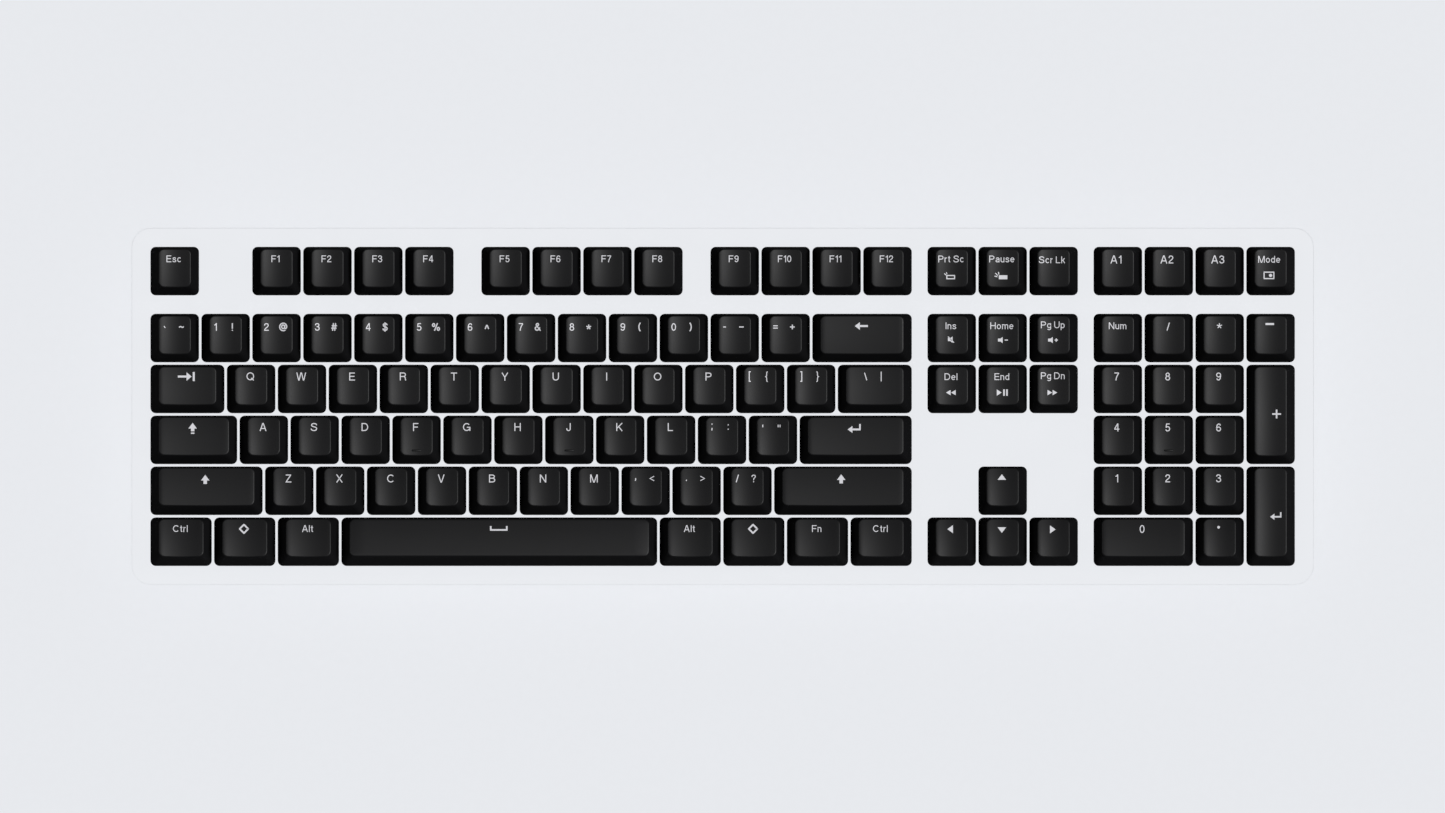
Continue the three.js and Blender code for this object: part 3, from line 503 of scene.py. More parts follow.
TEXTS = {"escape": [("Esc", FUNCTION_SIZE, -0.4, 4.6)]}
for number in range(1, 13):
    TEXTS[f"f{number}"] = [(f"F{number}", FUNCTION_SIZE, -0.4, 4.6)]
for letters, y in (("qwertyuiop", 4.65), ("asdfghjkl", 4.8), ("zxcvbnm", 4.6)):
    for letter in letters:
        TEXTS[letter] = [(letter.upper(), LETTER_SIZE, -0.3, y)]
for base, upper in zip("1234567890", "!@#$%^&*()"):
    TEXTS["digit_" + base] = shifted(base, upper)
for number in range(1, 10):
    TEXTS[f"pad_{number}"] = [(str(number), LETTER_SIZE, -0.4, 4.65)]
TEXTS.update(
    {
        "grave": shifted("`", "~"),
        "minus": shifted("-", "_"),
        "equals": shifted("=", "+"),
        "left_bracket": [("[", DIGIT_SIZE, -3.9, 4.65), ("{", DIGIT_SIZE, 2.3, 4.6)],
        "right_bracket": [("]", DIGIT_SIZE, -3.7, 4.65), ("}", DIGIT_SIZE, 2.5, 4.6)],
        "backslash": [("\\", DIGIT_SIZE, -3.4, 4.65), ("|", DIGIT_SIZE, 2.4, 4.65)],
        "semicolon": [(";", DIGIT_SIZE, -3.8, 4.8), (":", DIGIT_SIZE, 2.3, 4.8)],
        "quote": [("'", DIGIT_SIZE, -3.8, 5.2), ('"', DIGIT_SIZE, 2.3, 5.2)],
        "comma": [(",", DIGIT_SIZE, -3.8, 4.2), ("<", DIGIT_SIZE, 2.3, 4.6)],
        "period": [(".", DIGIT_SIZE, -3.8, 3.9), (">", DIGIT_SIZE, 2.3, 4.6)],
        "slash": [("/", DIGIT_SIZE, -3.8, 4.6), ("?", DIGIT_SIZE, 2.3, 4.6)],
        "left_control": [("Ctrl", FUNCTION_SIZE, -0.3, 4.9)],
        "right_control": [("Ctrl", FUNCTION_SIZE, -0.3, 4.9)],
        "left_alt": [("Alt", FUNCTION_SIZE, -0.3, 4.9)],
        "right_alt": [("Alt", FUNCTION_SIZE, -0.3, 4.9)],
        "function": [("Fn", FUNCTION_SIZE, -0.3, 4.9)],
        "print_screen": [("Prt Sc", FUNCTION_SIZE, -0.3, 4.55)],
        "pause": [("Pause", FUNCTION_SIZE, -0.3, 4.55)],
        "scroll_lock": [("Scr Lk", FUNCTION_SIZE, -0.6, 4.2)],
        "extra_1": [("A1", LETTER_SIZE, -0.7, 4.35)],
        "extra_2": [("A2", LETTER_SIZE, -0.7, 4.35)],
        "extra_3": [("A3", LETTER_SIZE, -0.7, 4.35)],
        "mode": [("Mode", FUNCTION_SIZE, -0.5, 4.4)],
        "insert": [("Ins", FUNCTION_SIZE, -0.3, 4.6)],
        "home": [("Home", FUNCTION_SIZE, -0.3, 4.6)],
        "page_up": [("Pg Up", FUNCTION_SIZE, -0.3, 4.6)],
        "delete": [("Del", FUNCTION_SIZE, -0.3, 4.6)],
        "end": [("End", FUNCTION_SIZE, -0.3, 4.6)],
        "page_down": [("Pg Dn", FUNCTION_SIZE, -0.3, 4.6)],
        "num_lock": [("Num", FUNCTION_SIZE, -0.1, 4.6)],
        "pad_divide": [("/", LETTER_SIZE, -0.2, 4.3)],
        "pad_multiply": [("*", LETTER_SIZE, -0.1, 4.6)],
        "pad_0": [("0", LETTER_SIZE, -0.45, 4.75)],
    }
)

ICONS = {
    "backspace": [("bar", 0.5, 4.5, 3.4, 0.75, 0), ("wedge", -1.75, 4.5, 2.9, 1.9, 180)],
    "tab": [("bar", -1.9, 4.65, 3.4, 0.75, 0), ("wedge", 0.6, 4.65, 3.2, 1.9, 0), ("bar", 2.35, 4.65, 3.4, 0.75, 90)],
    "caps_lock": [
        ("wedge", -0.44, 5.3, 3.2, 2.1, 90), ("bar", -0.44, 3.8, 1.3, 1.2, 0), ("bar", -0.44, 2.5, 1.3, 0.5, 0),
    ],
    "enter": [("bar", 0.3, 3.9, 3.2, 0.7, 0), ("wedge", -2.1, 3.9, 2.6, 1.8, 180), ("bar", 1.6, 4.75, 2.4, 0.6, 90)],
    "left_shift": [("wedge", -0.5, 4.9, 3.2, 2.1, 90), ("bar", -0.5, 3.25, 1.3, 1.4, 0)],
    "right_shift": [("wedge", -0.65, 5.1, 3.2, 2.1, 90), ("bar", -0.65, 3.45, 1.3, 1.4, 0)],
    "up": [("wedge", -0.3, 5.15, 3.2, 2.1, 90)],
    "left": [("wedge", -0.6, 4.7, 3.0, 2.1, 180)],
    "down": [("wedge", -0.3, 4.35, 3.2, 2.1, 270)],
    "right": [("wedge", -0.3, 4.6, 3.0, 2.1, 0)],
    "pad_minus": [("bar", -0.3, 5.25, 3.2, 0.75, 0)],
    "pad_plus": [("bar", 2.25, 0.15, 3.3, 0.6, 0), ("bar", 2.25, 0.15, 3.3, 0.6, 90)],
    "pad_enter": [
        ("bar", 2.7, -0.2, 2.7, 0.6, 0), ("wedge", 0.65, -0.2, 2.3, 1.6, 180), ("bar", 3.8, 0.5, 2.0, 0.55, 90),
    ],
    "pad_point": [("dot", -0.4, 5.4, 1.0)],
    # Generic marks: an outlined diamond and an open box
    "left_super": [
        ("bar", -1.1, 5.6, 2.5, 0.6, 45), ("bar", 0.5, 5.6, 2.5, 0.6, -45), ("bar", -1.1, 4.0, 2.5, 0.6, -45),
        ("bar", 0.5, 4.0, 2.5, 0.6, 45),
    ],
    "space": [("bar", -0.2, 4.4, 6.6, 0.6, 0), ("bar", -3.2, 5.0, 1.7, 0.6, 90), ("bar", 2.8, 5.0, 1.7, 0.6, 90)],
    # Backlight down and up: a key outline or a filled key with rays
    "print_screen": [
        ("bar", -0.4, -1.65, 3.3, 0.4, 0), ("bar", -0.4, -2.85, 3.3, 0.4, 0), ("bar", -1.85, -2.25, 1.5, 0.4, 90),
        ("bar", 1.05, -2.25, 1.5, 0.4, 90), ("bar", -2.45, -1.2, 0.9, 0.35, -45),
        ("bar", -1.9, -0.8, 0.8, 0.3, -70),
    ],
    "pause": [
        ("bar", 0.15, -2.3, 3.2, 1.5, 0), ("bar", -2.3, -1.2, 1.3, 0.35, -45), ("bar", -1.5, -0.8, 1.0, 0.35, -80),
        ("bar", -2.5, -2.0, 1.1, 0.35, -15),
    ],
    "mode": [
        ("bar", -0.6, -0.4, 4.05, 0.4, 0), ("bar", -0.6, -2.8, 4.05, 0.4, 0), ("bar", -2.43, -1.6, 2.4, 0.4, 90),
        ("bar", 1.23, -1.6, 2.4, 0.4, 90), ("dot", 0.0, -1.6, 1.25),
    ],
    # Loudspeakers, media keys
    "insert": [
        ("bar", -1.0, -0.6, 0.9, 1.1, 0), ("wedge", -0.5, -0.6, 2.4, 1.6, 180),
        ("bar", -0.3, -0.6, 3.2, 0.35, -45),
    ],
    "home": [
        ("bar", -1.3, -0.75, 0.9, 1.1, 0), ("wedge", -0.8, -0.75, 2.3, 1.6, 180),
        ("bar", 1.35, -0.75, 1.2, 0.4, 0),
    ],
    "page_up": [
        ("bar", -1.6, -0.75, 0.9, 1.1, 0), ("wedge", -1.1, -0.75, 2.3, 1.6, 180), ("bar", 1.0, -0.75, 1.2, 0.4, 0),
        ("bar", 1.0, -0.75, 1.2, 0.4, 90),
    ],
    "delete": [("wedge", -1.3, -1.35, 2.0, 1.75, 180), ("wedge", 0.6, -1.35, 2.0, 1.75, 180)],
    "end": [
        ("wedge", -1.3, -1.35, 2.4, 1.8, 0), ("bar", 0.5, -1.35, 2.4, 0.65, 90),
        ("bar", 1.6, -1.35, 2.4, 0.65, 90),
    ],
    "page_down": [("wedge", -1.4, -1.35, 2.0, 1.75, 0), ("wedge", 0.5, -1.35, 2.0, 1.75, 0)],
}
ICONS["right_super"] = ICONS["left_super"]

LEGEND_PROUD = 0.03


def stroke(bm, shape, x, y, *size):
    """One flat stroke of an icon."""
    if shape == "dot":
        made = bmesh.ops.create_circle(bm, cap_ends=True, segments=20, radius=size[0] / 2)["verts"]
        turn = 0
    elif shape == "wedge":
        width, height, turn = size
        made = bmesh.ops.create_circle(bm, cap_ends=True, segments=3, radius=1)["verts"]
        tip = max(made, key=lambda v: v.co.y).co
        bmesh.ops.rotate(bm, matrix=Matrix.Rotation(-math.atan2(tip.y, tip.x), 3, "Z"), verts=made)
        low = Vector((min(v.co.x for v in made), min(v.co.y for v in made), 0))
        high = Vector((max(v.co.x for v in made), max(v.co.y for v in made), 0))
        bmesh.ops.translate(bm, vec=-(low + high) / 2, verts=made)
        bmesh.ops.scale(bm, vec=(height / (high.x - low.x), width / (high.y - low.y), 1), verts=made)
    else:
        length, thickness, turn = size
        made = bmesh.ops.create_grid(bm, x_segments=1, y_segments=1, size=0.5)["verts"]
        bmesh.ops.scale(bm, vec=(length, thickness, 1), verts=made)
    bmesh.ops.rotate(bm, matrix=Matrix.Rotation(math.radians(turn), 3, "Z"), verts=made)
    bmesh.ops.translate(bm, vec=(x, y, 0), verts=made)


def arc(x, y, across, up, start, end):
    """Points along part of an ellipse, counter-clockwise when end is the larger angle."""
    count = max(4, round(abs(end - start) / 20))
    angles = [math.radians(start + (end - start) * i / count) for i in range(count + 1)]
    return [(x + across * math.cos(angle), y + up * math.sin(angle)) for angle in angles]


def ring(x, y, across, up):
    return arc(x, y, across, up, 0, 360)


def mirrored(strokes, width):
    return [[(width - x, y) for x, y in points] for points in strokes]


# Plain upright letters drawn as strokes. A capital is 1 high, and each has its width and its strokes' middle lines.
S_CURVE = [
    (0.74, 0.72), (0.69, 0.86), (0.56, 0.93), (0.41, 0.94), (0.26, 0.92), (0.13, 0.84), (0.11, 0.72), (0.17, 0.62),
    (0.30, 0.56), (0.44, 0.52), (0.60, 0.48), (0.72, 0.40), (0.75, 0.28), (0.69, 0.14), (0.55, 0.07), (0.40, 0.06),
    (0.23, 0.08), (0.10, 0.17), (0.06, 0.31),
]
BRACE = [
    (0.34, 1.03), (0.24, 1.0), (0.20, 0.90), (0.20, 0.60), (0.16, 0.45), (0.05, 0.39), (0.16, 0.33), (0.20, 0.18),
    (0.20, -0.12), (0.24, -0.22), (0.34, -0.25),
]
SIX = [
    ring(0.32, 0.31, 0.245, 0.245),
    [(0.075, 0.33), (0.08, 0.55), (0.14, 0.79), (0.26, 0.92), (0.37, 0.935), (0.49, 0.88), (0.54, 0.74)],
]
GLYPHS = {
    "A": (0.86, [[(0.06, 0), (0.41, 1)], [(0.80, 0), (0.45, 1)], [(0.18, 0.32), (0.68, 0.32)]]),
    "B": (0.78, [[(0.065, 0), (0.065, 1)],
                 [(0.1, 0.935), *arc(0.40, 0.735, 0.27, 0.2, 90, -90), (0.1, 0.535)],
                 [(0.1, 0.535), *arc(0.43, 0.3, 0.29, 0.235, 90, -90), (0.1, 0.065)]]),
    "C": (0.90, [arc(0.47, 0.5, 0.405, 0.435, 42, 318)]),
    "D": (0.84, [[(0.065, 0), (0.065, 1)], [(0.1, 0.935), *arc(0.38, 0.5, 0.39, 0.435, 90, -90), (0.1, 0.065)]]),
    "E": (0.72, [[(0.065, 0), (0.065, 1)], [(0.1, 0.935), (0.70, 0.935)], [(0.1, 0.52), (0.66, 0.52)],
                 [(0.1, 0.065), (0.72, 0.065)]]),
    "F": (0.68, [[(0.065, 0), (0.065, 1)], [(0.1, 0.935), (0.68, 0.935)], [(0.1, 0.5), (0.61, 0.5)]]),
    "G": (0.94, [arc(0.47, 0.5, 0.405, 0.435, 42, 328), [(0.50, 0.465), (0.87, 0.465), (0.87, 0.02)]]),
    "H": (0.80, [[(0.065, 0), (0.065, 1)], [(0.735, 0), (0.735, 1)], [(0.1, 0.52), (0.7, 0.52)]]),
    "I": (0.13, [[(0.065, 0), (0.065, 1)]]),
    "J": (0.56, [[(0.495, 1), *arc(0.28, 0.28, 0.215, 0.215, 0, -180), (0.065, 0.36)]]),
    "K": (0.80, [[(0.065, 0), (0.065, 1)], [(0.74, 1), (0.10, 0.36)], [(0.30, 0.56), (0.74, 0)]]),
    "L": (0.64, [[(0.065, 1), (0.065, 0.065), (0.64, 0.065)]]),
    "M": (0.96, [[(0.065, 0), (0.065, 1)], [(0.895, 0), (0.895, 1)], [(0.1, 1), (0.46, 0)], [(0.86, 1), (0.50, 0)]]),
    "N": (0.81, [[(0.065, 0), (0.065, 1)], [(0.745, 0), (0.745, 1)], [(0.08, 0.98), (0.73, 0.02)]]),
    "O": (0.96, [ring(0.48, 0.5, 0.415, 0.435)]),
    "P": (0.76, [[(0.065, 0), (0.065, 1)], [(0.1, 0.935), *arc(0.43, 0.7, 0.265, 0.235, 90, -90), (0.1, 0.465)]]),
    "Q": (0.96, [ring(0.48, 0.5, 0.415, 0.435), [(0.58, 0.29), (0.92, 0.0)]]),
    "R": (0.80, [[(0.065, 0), (0.065, 1)], [(0.1, 0.935), *arc(0.45, 0.715, 0.265, 0.22, 90, -90), (0.1, 0.495)],
                 [(0.46, 0.49), (0.61, 0.45), (0.68, 0.34), (0.70, 0.13), (0.76, 0)]]),
    "S": (0.82, [S_CURVE]),
    "T": (0.78, [[(0, 0.935), (0.78, 0.935)], [(0.39, 0), (0.39, 0.9)]]),
    "U": (0.80, [[(0.065, 1), *arc(0.40, 0.37, 0.335, 0.305, 180, 360), (0.735, 1)]]),
    "V": (0.82, [[(0.05, 1), (0.39, 0)], [(0.77, 1), (0.43, 0)]]),
    "W": (1.20, [[(0.05, 1), (0.29, 0)], [(0.57, 1), (0.33, 0)], [(0.63, 1), (0.87, 0)], [(1.15, 1), (0.91, 0)]]),
    "X": (0.82, [[(0.06, 1), (0.76, 0)], [(0.76, 1), (0.06, 0)]]),
    "Y": (0.82, [[(0.05, 1), (0.41, 0.42)], [(0.77, 1), (0.41, 0.42)], [(0.41, 0.46), (0.41, 0)]]),
    "Z": (0.74, [[(0.04, 0.935), (0.70, 0.935)], [(0.66, 0.92), (0.08, 0.08)], [(0.02, 0.065), (0.74, 0.065)]]),
    "a": (0.60, [[(0.53, 0), (0.53, 0.45), *arc(0.31, 0.48, 0.22, 0.185, 10, 165)],
                 [(0.53, 0.42), (0.30, 0.39), (0.13, 0.33), (0.065, 0.20), (0.13, 0.09), (0.27, 0.065), (0.42, 0.11),
                  (0.53, 0.23)]]),
    "c": (0.57, [arc(0.31, 0.365, 0.245, 0.30, 42, 318)]),
    "d": (0.59, [ring(0.29, 0.365, 0.225, 0.30), [(0.525, 0), (0.525, 1)]]),
    "e": (0.62, [arc(0.31, 0.365, 0.245, 0.30, 0, 322), [(0.08, 0.375), (0.555, 0.375)]]),
    "g": (0.59, [ring(0.29, 0.365, 0.225, 0.30), [(0.525, 0.73), *arc(0.29, -0.05, 0.235, 0.165, 0, -155)]]),
    "k": (0.56, [[(0.065, 0), (0.065, 1)], [(0.50, 0.73), (0.10, 0.33)], [(0.24, 0.47), (0.52, 0)]]),
    "l": (0.13, [[(0.065, 0), (0.065, 1)]]),
    "m": (0.91, [[(0.065, 0), (0.065, 0.73)], [*arc(0.26, 0.48, 0.195, 0.185, 180, 0), (0.455, 0)],
                 [*arc(0.65, 0.48, 0.195, 0.185, 180, 0), (0.845, 0)]]),
    "n": (0.56, [[(0.065, 0), (0.065, 0.73)], [*arc(0.28, 0.48, 0.215, 0.185, 180, 0), (0.495, 0)]]),
    "o": (0.62, [ring(0.31, 0.365, 0.245, 0.30)]),
    "p": (0.59, [ring(0.30, 0.365, 0.225, 0.30), [(0.065, 0.73), (0.065, -0.27)]]),
    "r": (0.36, [[(0.065, 0), (0.065, 0.73)], arc(0.31, 0.44, 0.245, 0.225, 175, 85)]),
    "s": (0.56, [[(0.50, 0.52), (0.43, 0.63), (0.28, 0.67), (0.13, 0.62), (0.09, 0.52), (0.16, 0.43), (0.29, 0.385),
                  (0.43, 0.33), (0.51, 0.22), (0.46, 0.10), (0.29, 0.06), (0.12, 0.10), (0.05, 0.22)]]),
    "t": (0.33, [[(0.16, 0.93), (0.16, 0.17), (0.20, 0.08), (0.33, 0.065)], [(0, 0.665), (0.32, 0.665)]]),
    "u": (0.56, [[(0.065, 0.73), *arc(0.28, 0.25, 0.215, 0.185, 180, 360)], [(0.495, 0), (0.495, 0.73)]]),
    "0": (0.62, [ring(0.31, 0.5, 0.245, 0.435)]),
    "1": (0.37, [[(0.305, 0), (0.305, 1)], [(0.03, 0.75), (0.19, 0.79), (0.28, 0.95)]]),
    "2": (0.60, [[(0.06, 0.68), (0.09, 0.83), (0.20, 0.925), (0.34, 0.935), (0.48, 0.88), (0.535, 0.75), (0.50, 0.60),
                  (0.38, 0.46), (0.22, 0.34), (0.09, 0.2), (0.065, 0.065), (0.60, 0.065)]]),
    "3": (0.63, [[(0.06, 0.72), (0.10, 0.86), (0.22, 0.93), (0.36, 0.93), (0.49, 0.86), (0.53, 0.74), (0.47, 0.61),
                  (0.34, 0.545), (0.22, 0.54)],
                 [(0.34, 0.54), (0.50, 0.47), (0.565, 0.33), (0.53, 0.17), (0.41, 0.08), (0.27, 0.06), (0.12, 0.12),
                  (0.05, 0.28)]]),
    "4": (0.64, [[(0.46, 0), (0.46, 1)], [(0.43, 0.97), (0.06, 0.33)], [(0.02, 0.285), (0.64, 0.285)]]),
    "5": (0.62, [[(0.56, 0.935), (0.17, 0.935), (0.11, 0.50)],
                 [(0.10, 0.47), (0.20, 0.57), (0.33, 0.60), (0.48, 0.54), (0.555, 0.41), (0.555, 0.27), (0.48, 0.13),
                  (0.34, 0.065), (0.18, 0.08), (0.06, 0.24)]]),
    "6": (0.63, SIX),
    "7": (0.60, [[(0.02, 0.93), (0.57, 0.93)], [(0.56, 0.90), (0.38, 0.62), (0.26, 0.32), (0.2, 0)]]),
    "8": (0.62, [ring(0.31, 0.735, 0.205, 0.2), ring(0.31, 0.3, 0.245, 0.235)]),
    "9": (0.63, mirrored([[(x, 1 - y) for x, y in points] for points in SIX], 0.63)),
    "!": (0.13, [[(0.065, 1), (0.065, 0.27)], [(0.065, 0.14), (0.065, 0)]]),
    "@": (1.10, [arc(0.56, 0.42, 0.47, 0.50, 0, 308), ring(0.54, 0.44, 0.19, 0.24),
                 [(0.79, 0.68), (0.74, 0.30), (0.80, 0.20), (0.92, 0.22), (1.03, 0.40)]]),
    "#": (0.74, [[(0.16, 0), (0.28, 1)], [(0.44, 0), (0.56, 1)], [(0.06, 0.66), (0.74, 0.66)],
                 [(0, 0.34), (0.68, 0.34)]]),
    "$": (0.66, [[(0.03 + 0.78 * x, y) for x, y in S_CURVE], [(0.34, 1.1), (0.34, -0.1)]]),
    "%": (1.04, [ring(0.21, 0.75, 0.145, 0.19), ring(0.83, 0.25, 0.145, 0.19), [(0.32, 0), (0.72, 1)]]),
    "^": (0.56, [[(0.05, 0.45), (0.26, 0.98)], [(0.51, 0.45), (0.30, 0.98)]]),
    "&": (0.80, [[(0.76, 0.0), (0.25, 0.62), (0.19, 0.78), (0.26, 0.91), (0.38, 0.935), (0.49, 0.88), (0.50, 0.76),
                  (0.42, 0.65), (0.21, 0.51), (0.08, 0.39), (0.065, 0.24), (0.14, 0.11), (0.29, 0.06), (0.46, 0.10),
                  (0.60, 0.25), (0.67, 0.44)]]),
    "*": (0.64, [[(0.32, 0.68), (0.32 + 0.33 * math.cos(a), 0.68 + 0.33 * math.sin(a))]
                 for a in (math.radians(90 + 72 * i) for i in range(5))]),
    "(": (0.28, [arc(0.62, 0.38, 0.55, 0.72, 130, 230)]),
    "-": (0.36, [[(0, 0.40), (0.36, 0.40)]]),
    "_": (0.62, [[(0, -0.14), (0.62, -0.14)]]),
    "=": (0.60, [[(0, 0.56), (0.60, 0.56)], [(0, 0.26), (0.60, 0.26)]]),
    "+": (0.62, [[(0, 0.41), (0.62, 0.41)], [(0.31, 0.1), (0.31, 0.72)]]),
    "[": (0.27, [[(0.27, 1.02), (0.065, 1.02), (0.065, -0.24), (0.27, -0.24)]]),
    "{": (0.34, [BRACE]),
    "\\": (0.38, [[(0.04, 1), (0.34, 0)]]),
    "|": (0.13, [[(0.065, 1.04), (0.065, -0.24)]]),
    ":": (0.13, [[(0.065, 0.73), (0.065, 0.57)], [(0.065, 0.16), (0.065, 0)]]),
    ";": (0.15, [[(0.075, 0.73), (0.075, 0.57)], [(0.075, 0.16), (0.08, -0.02), (0.03, -0.18)]]),
    "'": (0.13, [[(0.065, 1), (0.065, 0.66)]]),
    '"': (0.38, [[(0.065, 1), (0.065, 0.66)], [(0.315, 1), (0.315, 0.66)]]),
    ",": (0.15, [[(0.075, 0.16), (0.08, -0.02), (0.03, -0.18)]]),
    ".": (0.13, [[(0.065, 0.16), (0.065, 0)]]),
    "<": (0.62, [[(0.60, 0.72), (0.06, 0.43), (0.60, 0.13)]]),
    "?": (0.58, [[(0.05, 0.70), (0.10, 0.86), (0.22, 0.935), (0.36, 0.93), (0.48, 0.86), (0.51, 0.73), (0.44, 0.60),
                  (0.32, 0.50), (0.28, 0.40), (0.28, 0.27)], [(0.28, 0.14), (0.28, 0)]]),
    "`": (0.22, [[(0.02, 1.02), (0.19, 0.80)]]),
    "~": (0.64, [[(0.03, 0.36), (0.10, 0.46), (0.21, 0.49), (0.33, 0.43), (0.45, 0.37), (0.55, 0.40), (0.61, 0.50)]]),
    "/": (0.38, [[(0.34, 1), (0.04, 0)]]),
}
for opening, closing in zip("([{<", ")]}>"):
    width, strokes = GLYPHS[opening]
    GLYPHS[closing] = (width, mirrored(strokes, width))
LETTER_STROKE, LETTER_SPACE = 0.118, 0.15  # as shares of a capital's height


def ribbon(bm, points, thickness):
    """A flat stroke of even thickness along points, mitred at its bends."""
    path = [Vector(point) for point in points]
    closed = (path[0] - path[-1]).length < 1e-6
    legs = [(b - a).normalized() for a, b in zip(path, path[1:])]
    sides = []
    for i, point in enumerate(path):
        before = legs[i - 1] if i or closed else legs[0]
        after = legs[i] if i < len(legs) else (legs[0] if closed else legs[-1])
        across = (before + after).normalized()
        stretch = min(1.6, 1 / max(0.3, across.dot(after)))
        offset = Vector((-across.y, across.x)) * thickness / 2 * stretch
        sides.append((point + offset, point - offset))
    edge = bm.edges.new([bm.verts.new((*side, 0)) for side in sides[0]])
    start = list(edge.verts)
    for left, right in sides[1:]:
        made = bmesh.ops.extrude_edge_only(bm, edges=[edge])["geom"]
        edge = next(g for g in made if isinstance(g, bmesh.types.BMEdge))
        near = edge.verts[0] if (edge.verts[0].co - start[0].co).length < 1e-6 else edge.verts[1]
        far = edge.other_vert(near)
        near.co, far.co = (*left, 0), (*right, 0)
        start = [near, far]


def lettering(words, capital, x, y, weight=1.0):
    """Flat letters as a bmesh, with the middle of their box at x, y."""
    letters = bmesh.new()
    cursor = 0
    for character in words:
        if character == " ":
            cursor += 0.3
            continue
        width, strokes = GLYPHS[character]
        for points in strokes:
            ribbon(letters, [(cursor + px, py) for px, py in points], LETTER_STROKE * weight)
        cursor += width + LETTER_SPACE
    bmesh.ops.scale(letters, vec=(capital, capital, 1), verts=letters.verts)
    xs = [v.co.x for v in letters.verts]
    ys = [v.co.y for v in letters.verts]
    middle = Vector(((min(xs) + max(xs)) / 2, (min(ys) + max(ys)) / 2, 0))
    bmesh.ops.translate(letters, vec=Vector((x, y, 0)) - middle, verts=letters.verts)
    return letters


def add_legend(bm, key):
    """Lays the key's letters and icon on its top, following the hollow, as its second material."""
    flat = bmesh.new()
    for text in TEXTS.get(key.name, ()):
        join_into(flat, lettering(*text))
    for shape in ICONS.get(key.name, ()):
        stroke(flat, *shape)
    bmesh.ops.remove_doubles(flat, verts=flat.verts, dist=1e-4)
    cut_across(flat, strip_places(key))
    for vert in flat.verts:
        vert.co.z = key.top(vert.co.x, vert.co.y) + LEGEND_PROUD
    for face in flat.faces:
        face.material_index = 1
        if face.normal.z < 0:
            face.normal_flip()
    mesh = bpy.data.meshes.new("legend")
    flat.to_mesh(mesh)
    flat.free()
    bm.from_mesh(mesh)
    bpy.data.meshes.remove(mesh)


for key in keys.values():
    make_key(key)

# ---- switches, board, plate, tray and small parts ---------------------------------------------


def softened(node, body, material, edge, sharp=32, segments=2):
    """A copy of a CAD node with its faces merged and its edges rounded, in its place."""
    bm = bmesh.new()
    bm.from_mesh(bpy.data.objects[node].data)
    bmesh.ops.remove_doubles(bm, verts=bm.verts, dist=1e-5)
    bmesh.ops.dissolve_limit(bm, angle_limit=math.radians(1), verts=bm.verts, edges=bm.edges)
    bm.normal_update()
    edges = [e for e in bm.edges if len(e.link_faces) == 2 and e.calc_face_angle(0) > math.radians(sharp)]
    bmesh.ops.bevel(
        bm, geom=edges, offset=edge * MM, offset_type="OFFSET", segments=segments, profile=0.5,
        affect="EDGES", material=-1, clamp_overlap=True,
    )
    piece = place_piece(node + "_finished", bm, [material], body, Matrix.Identity(4))
    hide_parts(node)
    return piece


for node, material in (
    ("silicone_filler", grey_rubber), ("controller_chip", black_nylon), ("switch_plate", powder_coat),
    ("usb_socket", plated_steel),
    ("front_strip", grey_rubber), ("rear_strip", grey_rubber),
    ("left_foot_tip", grey_rubber), ("right_foot_tip", grey_rubber),
):
    mesh = bpy.data.objects[node].data
    mesh.materials.clear()
    mesh.materials.append(material)
for node in frame["nodes"]:
    if node.endswith("_wire") or node.endswith("_screw"):
        mesh = bpy.data.objects[node].data
        mesh.materials.clear()
        mesh.materials.append(plated_steel)

softened("bottom_tray", "base", grey_housing, 0.4)
for side in ("left_foot", "right_foot"):
    softened(side, side, grey_housing, 0.3)


def switch_housings():
    """The dark housings: a neck down to the board, a rim on the plate, a tapered upper part with the stem's well."""
    levels = HOUSING_LEVELS
    bm = bmesh.new()
    for key in keys.values():
        ring = bmesh.ops.create_grid(bm, x_segments=1, y_segments=1, size=0.5)["verts"]
        face = ring[0].link_faces[0]
        bmesh.ops.scale(bm, vec=(levels[0][0], levels[0][1], 1), verts=ring)
        bmesh.ops.translate(bm, vec=(0, 0, levels[0][2]), verts=ring)
        made = list(ring)
        for (width, depth, height), (width_before, depth_before, height_before) in zip(levels[1:], levels):
            geometry = bmesh.ops.extrude_face_region(bm, geom=[face])["geom"]
            if height_before != levels[0][2]:
                bmesh.ops.delete(bm, geom=[face], context="FACES_ONLY")
            ring = [g for g in geometry if isinstance(g, bmesh.types.BMVert)]
            face = next(g for g in geometry if isinstance(g, bmesh.types.BMFace))
            bmesh.ops.scale(bm, vec=(width / width_before, depth / depth_before, 1), verts=ring)
            bmesh.ops.translate(bm, vec=(0, 0, height - height_before), verts=ring)
            made += ring
        bmesh.ops.translate(bm, vec=(key.x, key.y, 0), verts=made)
    bmesh.ops.recalc_face_normals(bm, faces=bm.faces)
    piece = place_piece("switch_housings", bm, [black_nylon], "base")
    return piece


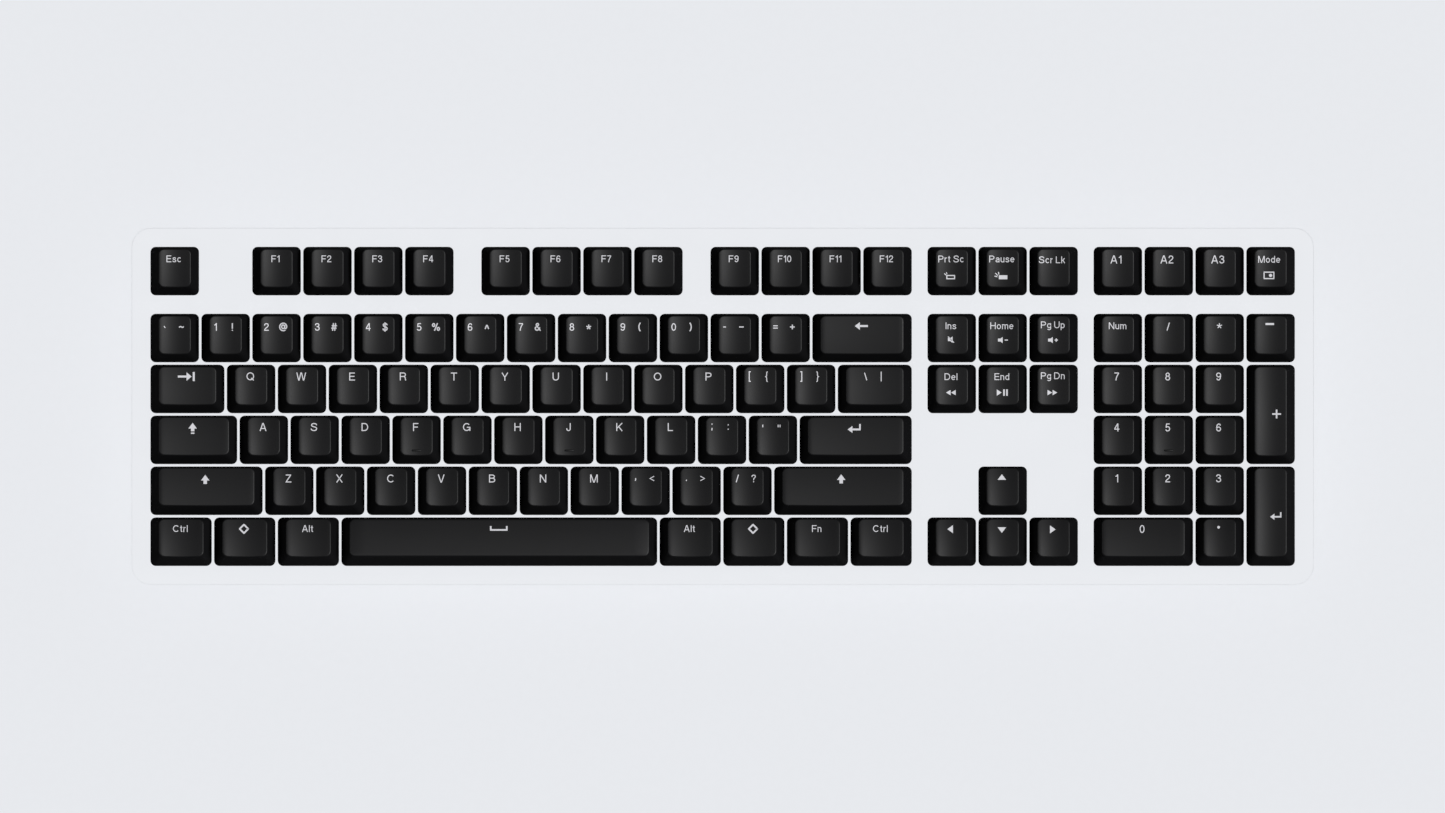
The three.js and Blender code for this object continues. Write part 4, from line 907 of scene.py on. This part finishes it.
def stabiliser_guides():
    """Beside each post of a wide key: a channel open on its outer side, and a clip in front that holds the wire."""
    bm = bmesh.new()
    for key in keys.values():
        for side in post_sides(key):
            channel = pierced((-3.8, -4.3), (1.5, 4.3), [((-2.5, -3.0), (9, 3.0))], -5.2, 3.5)
            # A clip is drawn on its side: its first axis is height, and its slot is open at the top
            clip = pierced(
                (-5.2, -WIRE_ARM - 1.85), (WIRE_HEIGHT + 0.75, -WIRE_ARM + 1.85),
                [((WIRE_HEIGHT - 1.15, -WIRE_ARM - 1.15), (9, -WIRE_ARM + 1.15))], -3.8, -1.2,
            )
            turn_up = Matrix(((0, 0, 1), (0, 1, 0), (1, 0, 0)))
            bmesh.ops.transform(clip, matrix=turn_up.to_4x4(), verts=clip.verts)
            bmesh.ops.reverse_faces(clip, faces=clip.faces)
            join_into(channel, clip)
            if side < 0:
                bmesh.ops.scale(channel, vec=(-1, 1, 1), verts=channel.verts)
                bmesh.ops.reverse_faces(channel, faces=channel.faces)
            bmesh.ops.translate(channel, vec=(key.x + side * spread_of(key), key.y, 0), verts=channel.verts)
            join_into(bm, channel)
    piece = place_piece("stabiliser_guides", bm, [black_nylon], "base")


def circuit_board():
    """The board below the plate, with slots where the posts and wires of the wide keys come down."""
    half = (FIELD_WIDTH / 2 + BOARD_MARGIN, FIELD_DEPTH / 2 + BOARD_MARGIN)
    slots = []
    for key in keys.values():
        for side in post_sides(key):
            ends = sorted(key.x + side * (spread_of(key) + reach) for reach in (-2.6, 4.35))
            slots.append(((ends[0], key.y - 3.1), (ends[1], key.y + 3.1)))
    bm = pierced((-half[0], -half[1]), half, slots, BOARD_TOP - BOARD_THICKNESS, BOARD_TOP)
    piece = place_piece("board", bm, [solder_mask], "base")
    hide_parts("circuit_board")
    return piece


switch_housings()
stabiliser_guides()
circuit_board()

# ---- floor, light and camera ------------------------------------------------------------------

floor_mesh = bpy.data.meshes.new("floor")
bm = bmesh.new()
bmesh.ops.create_grid(bm, x_segments=1, y_segments=1, size=4)
bm.to_mesh(floor_mesh)
bm.free()
material, tree, place = new_material("matt_white_paper")
fibres = add_node(tree, "ShaderNodeTexNoise", {"Vector": place, "Scale": 1 / (3 * MM), "Detail": 3})
tone = add_node(
    tree, "ShaderNodeMix", {0: fibres.outputs[0], 6: linear("#E3E5E9"), 7: linear("#E5E7EB")}, data_type="RGBA"
)
finish_material(
    tree,
    add_node(
        tree, "ShaderNodeBsdfPrincipled",
        {"Base Color": tone.outputs[2], "Roughness": 0.9, "Specular IOR Level": 0.1},
    ),
)
floor_mesh.materials.append(material)
floor = bpy.data.objects.new("floor", floor_mesh)
floor.location.z = cad_box[0][2]
floor.visible_glossy = False
bpy.context.scene.collection.objects.link(floor)


def sun(name, strength, angle, towards, lit):
    """A distant lamp that shines along a direction, on the listed objects only."""
    lamp = bpy.data.lights.new(name, "SUN")
    lamp.energy = strength
    lamp.angle = math.radians(angle)
    holder = bpy.data.objects.new(name, lamp)
    holder.rotation_euler = Vector(towards).to_track_quat("-Z", "Y").to_euler()
    bpy.context.scene.collection.objects.link(holder)
    group = bpy.data.collections.new(name + "_lights_up")
    for piece in lit:
        group.objects.link(piece)
    holder.light_linking.receiver_collection = group


bpy.data.objects["switch_plate"].visible_glossy = False  # its glare is kept out of the key walls
turn = deck.to_3x3().normalized()
meshes = [o for o in bpy.context.scene.objects if o.type == "MESH"]
tops = [o for o in meshes if o.name.startswith("keytop_")]
# One lamp straight down on the pale parts, flagged off the key tops; on the tops a broad soft one from the right,
# and a weak fill from the left
sun("overhead_light", 3.17, 1, turn @ Vector((0, 0, -1)), [o for o in meshes if o not in tops])
aslant = math.radians(34)  # between the right-hand lamp and the deck's upright
sun("side_softbox", 3.6, 24, turn @ Vector((-math.sin(aslant), 0.02, -math.cos(aslant))), tops)
sun("left_fill", 0.45, 30, turn @ Vector((0.7, 0, -0.7)), tops)

world = bpy.data.worlds.new("studio")
world.use_nodes = True
world.node_tree.nodes["Background"].inputs[0].default_value = linear("#F2F4F8")
world.node_tree.nodes["Background"].inputs[1].default_value = 0.03
bpy.context.scene.world = world
bpy.context.scene.view_settings.view_transform = "Standard"

camera = bpy.data.cameras.new("camera")
camera.type = "ORTHO"
camera.ortho_scale = 0.5407
camera.clip_end = 20
holder = bpy.data.objects.new("camera", camera)
holder.rotation_euler = (tilt, 0, 0)
holder.location = deck @ Vector((-0.06, -0.04, 1200))
bpy.context.scene.collection.objects.link(holder)
bpy.context.scene.camera = holder
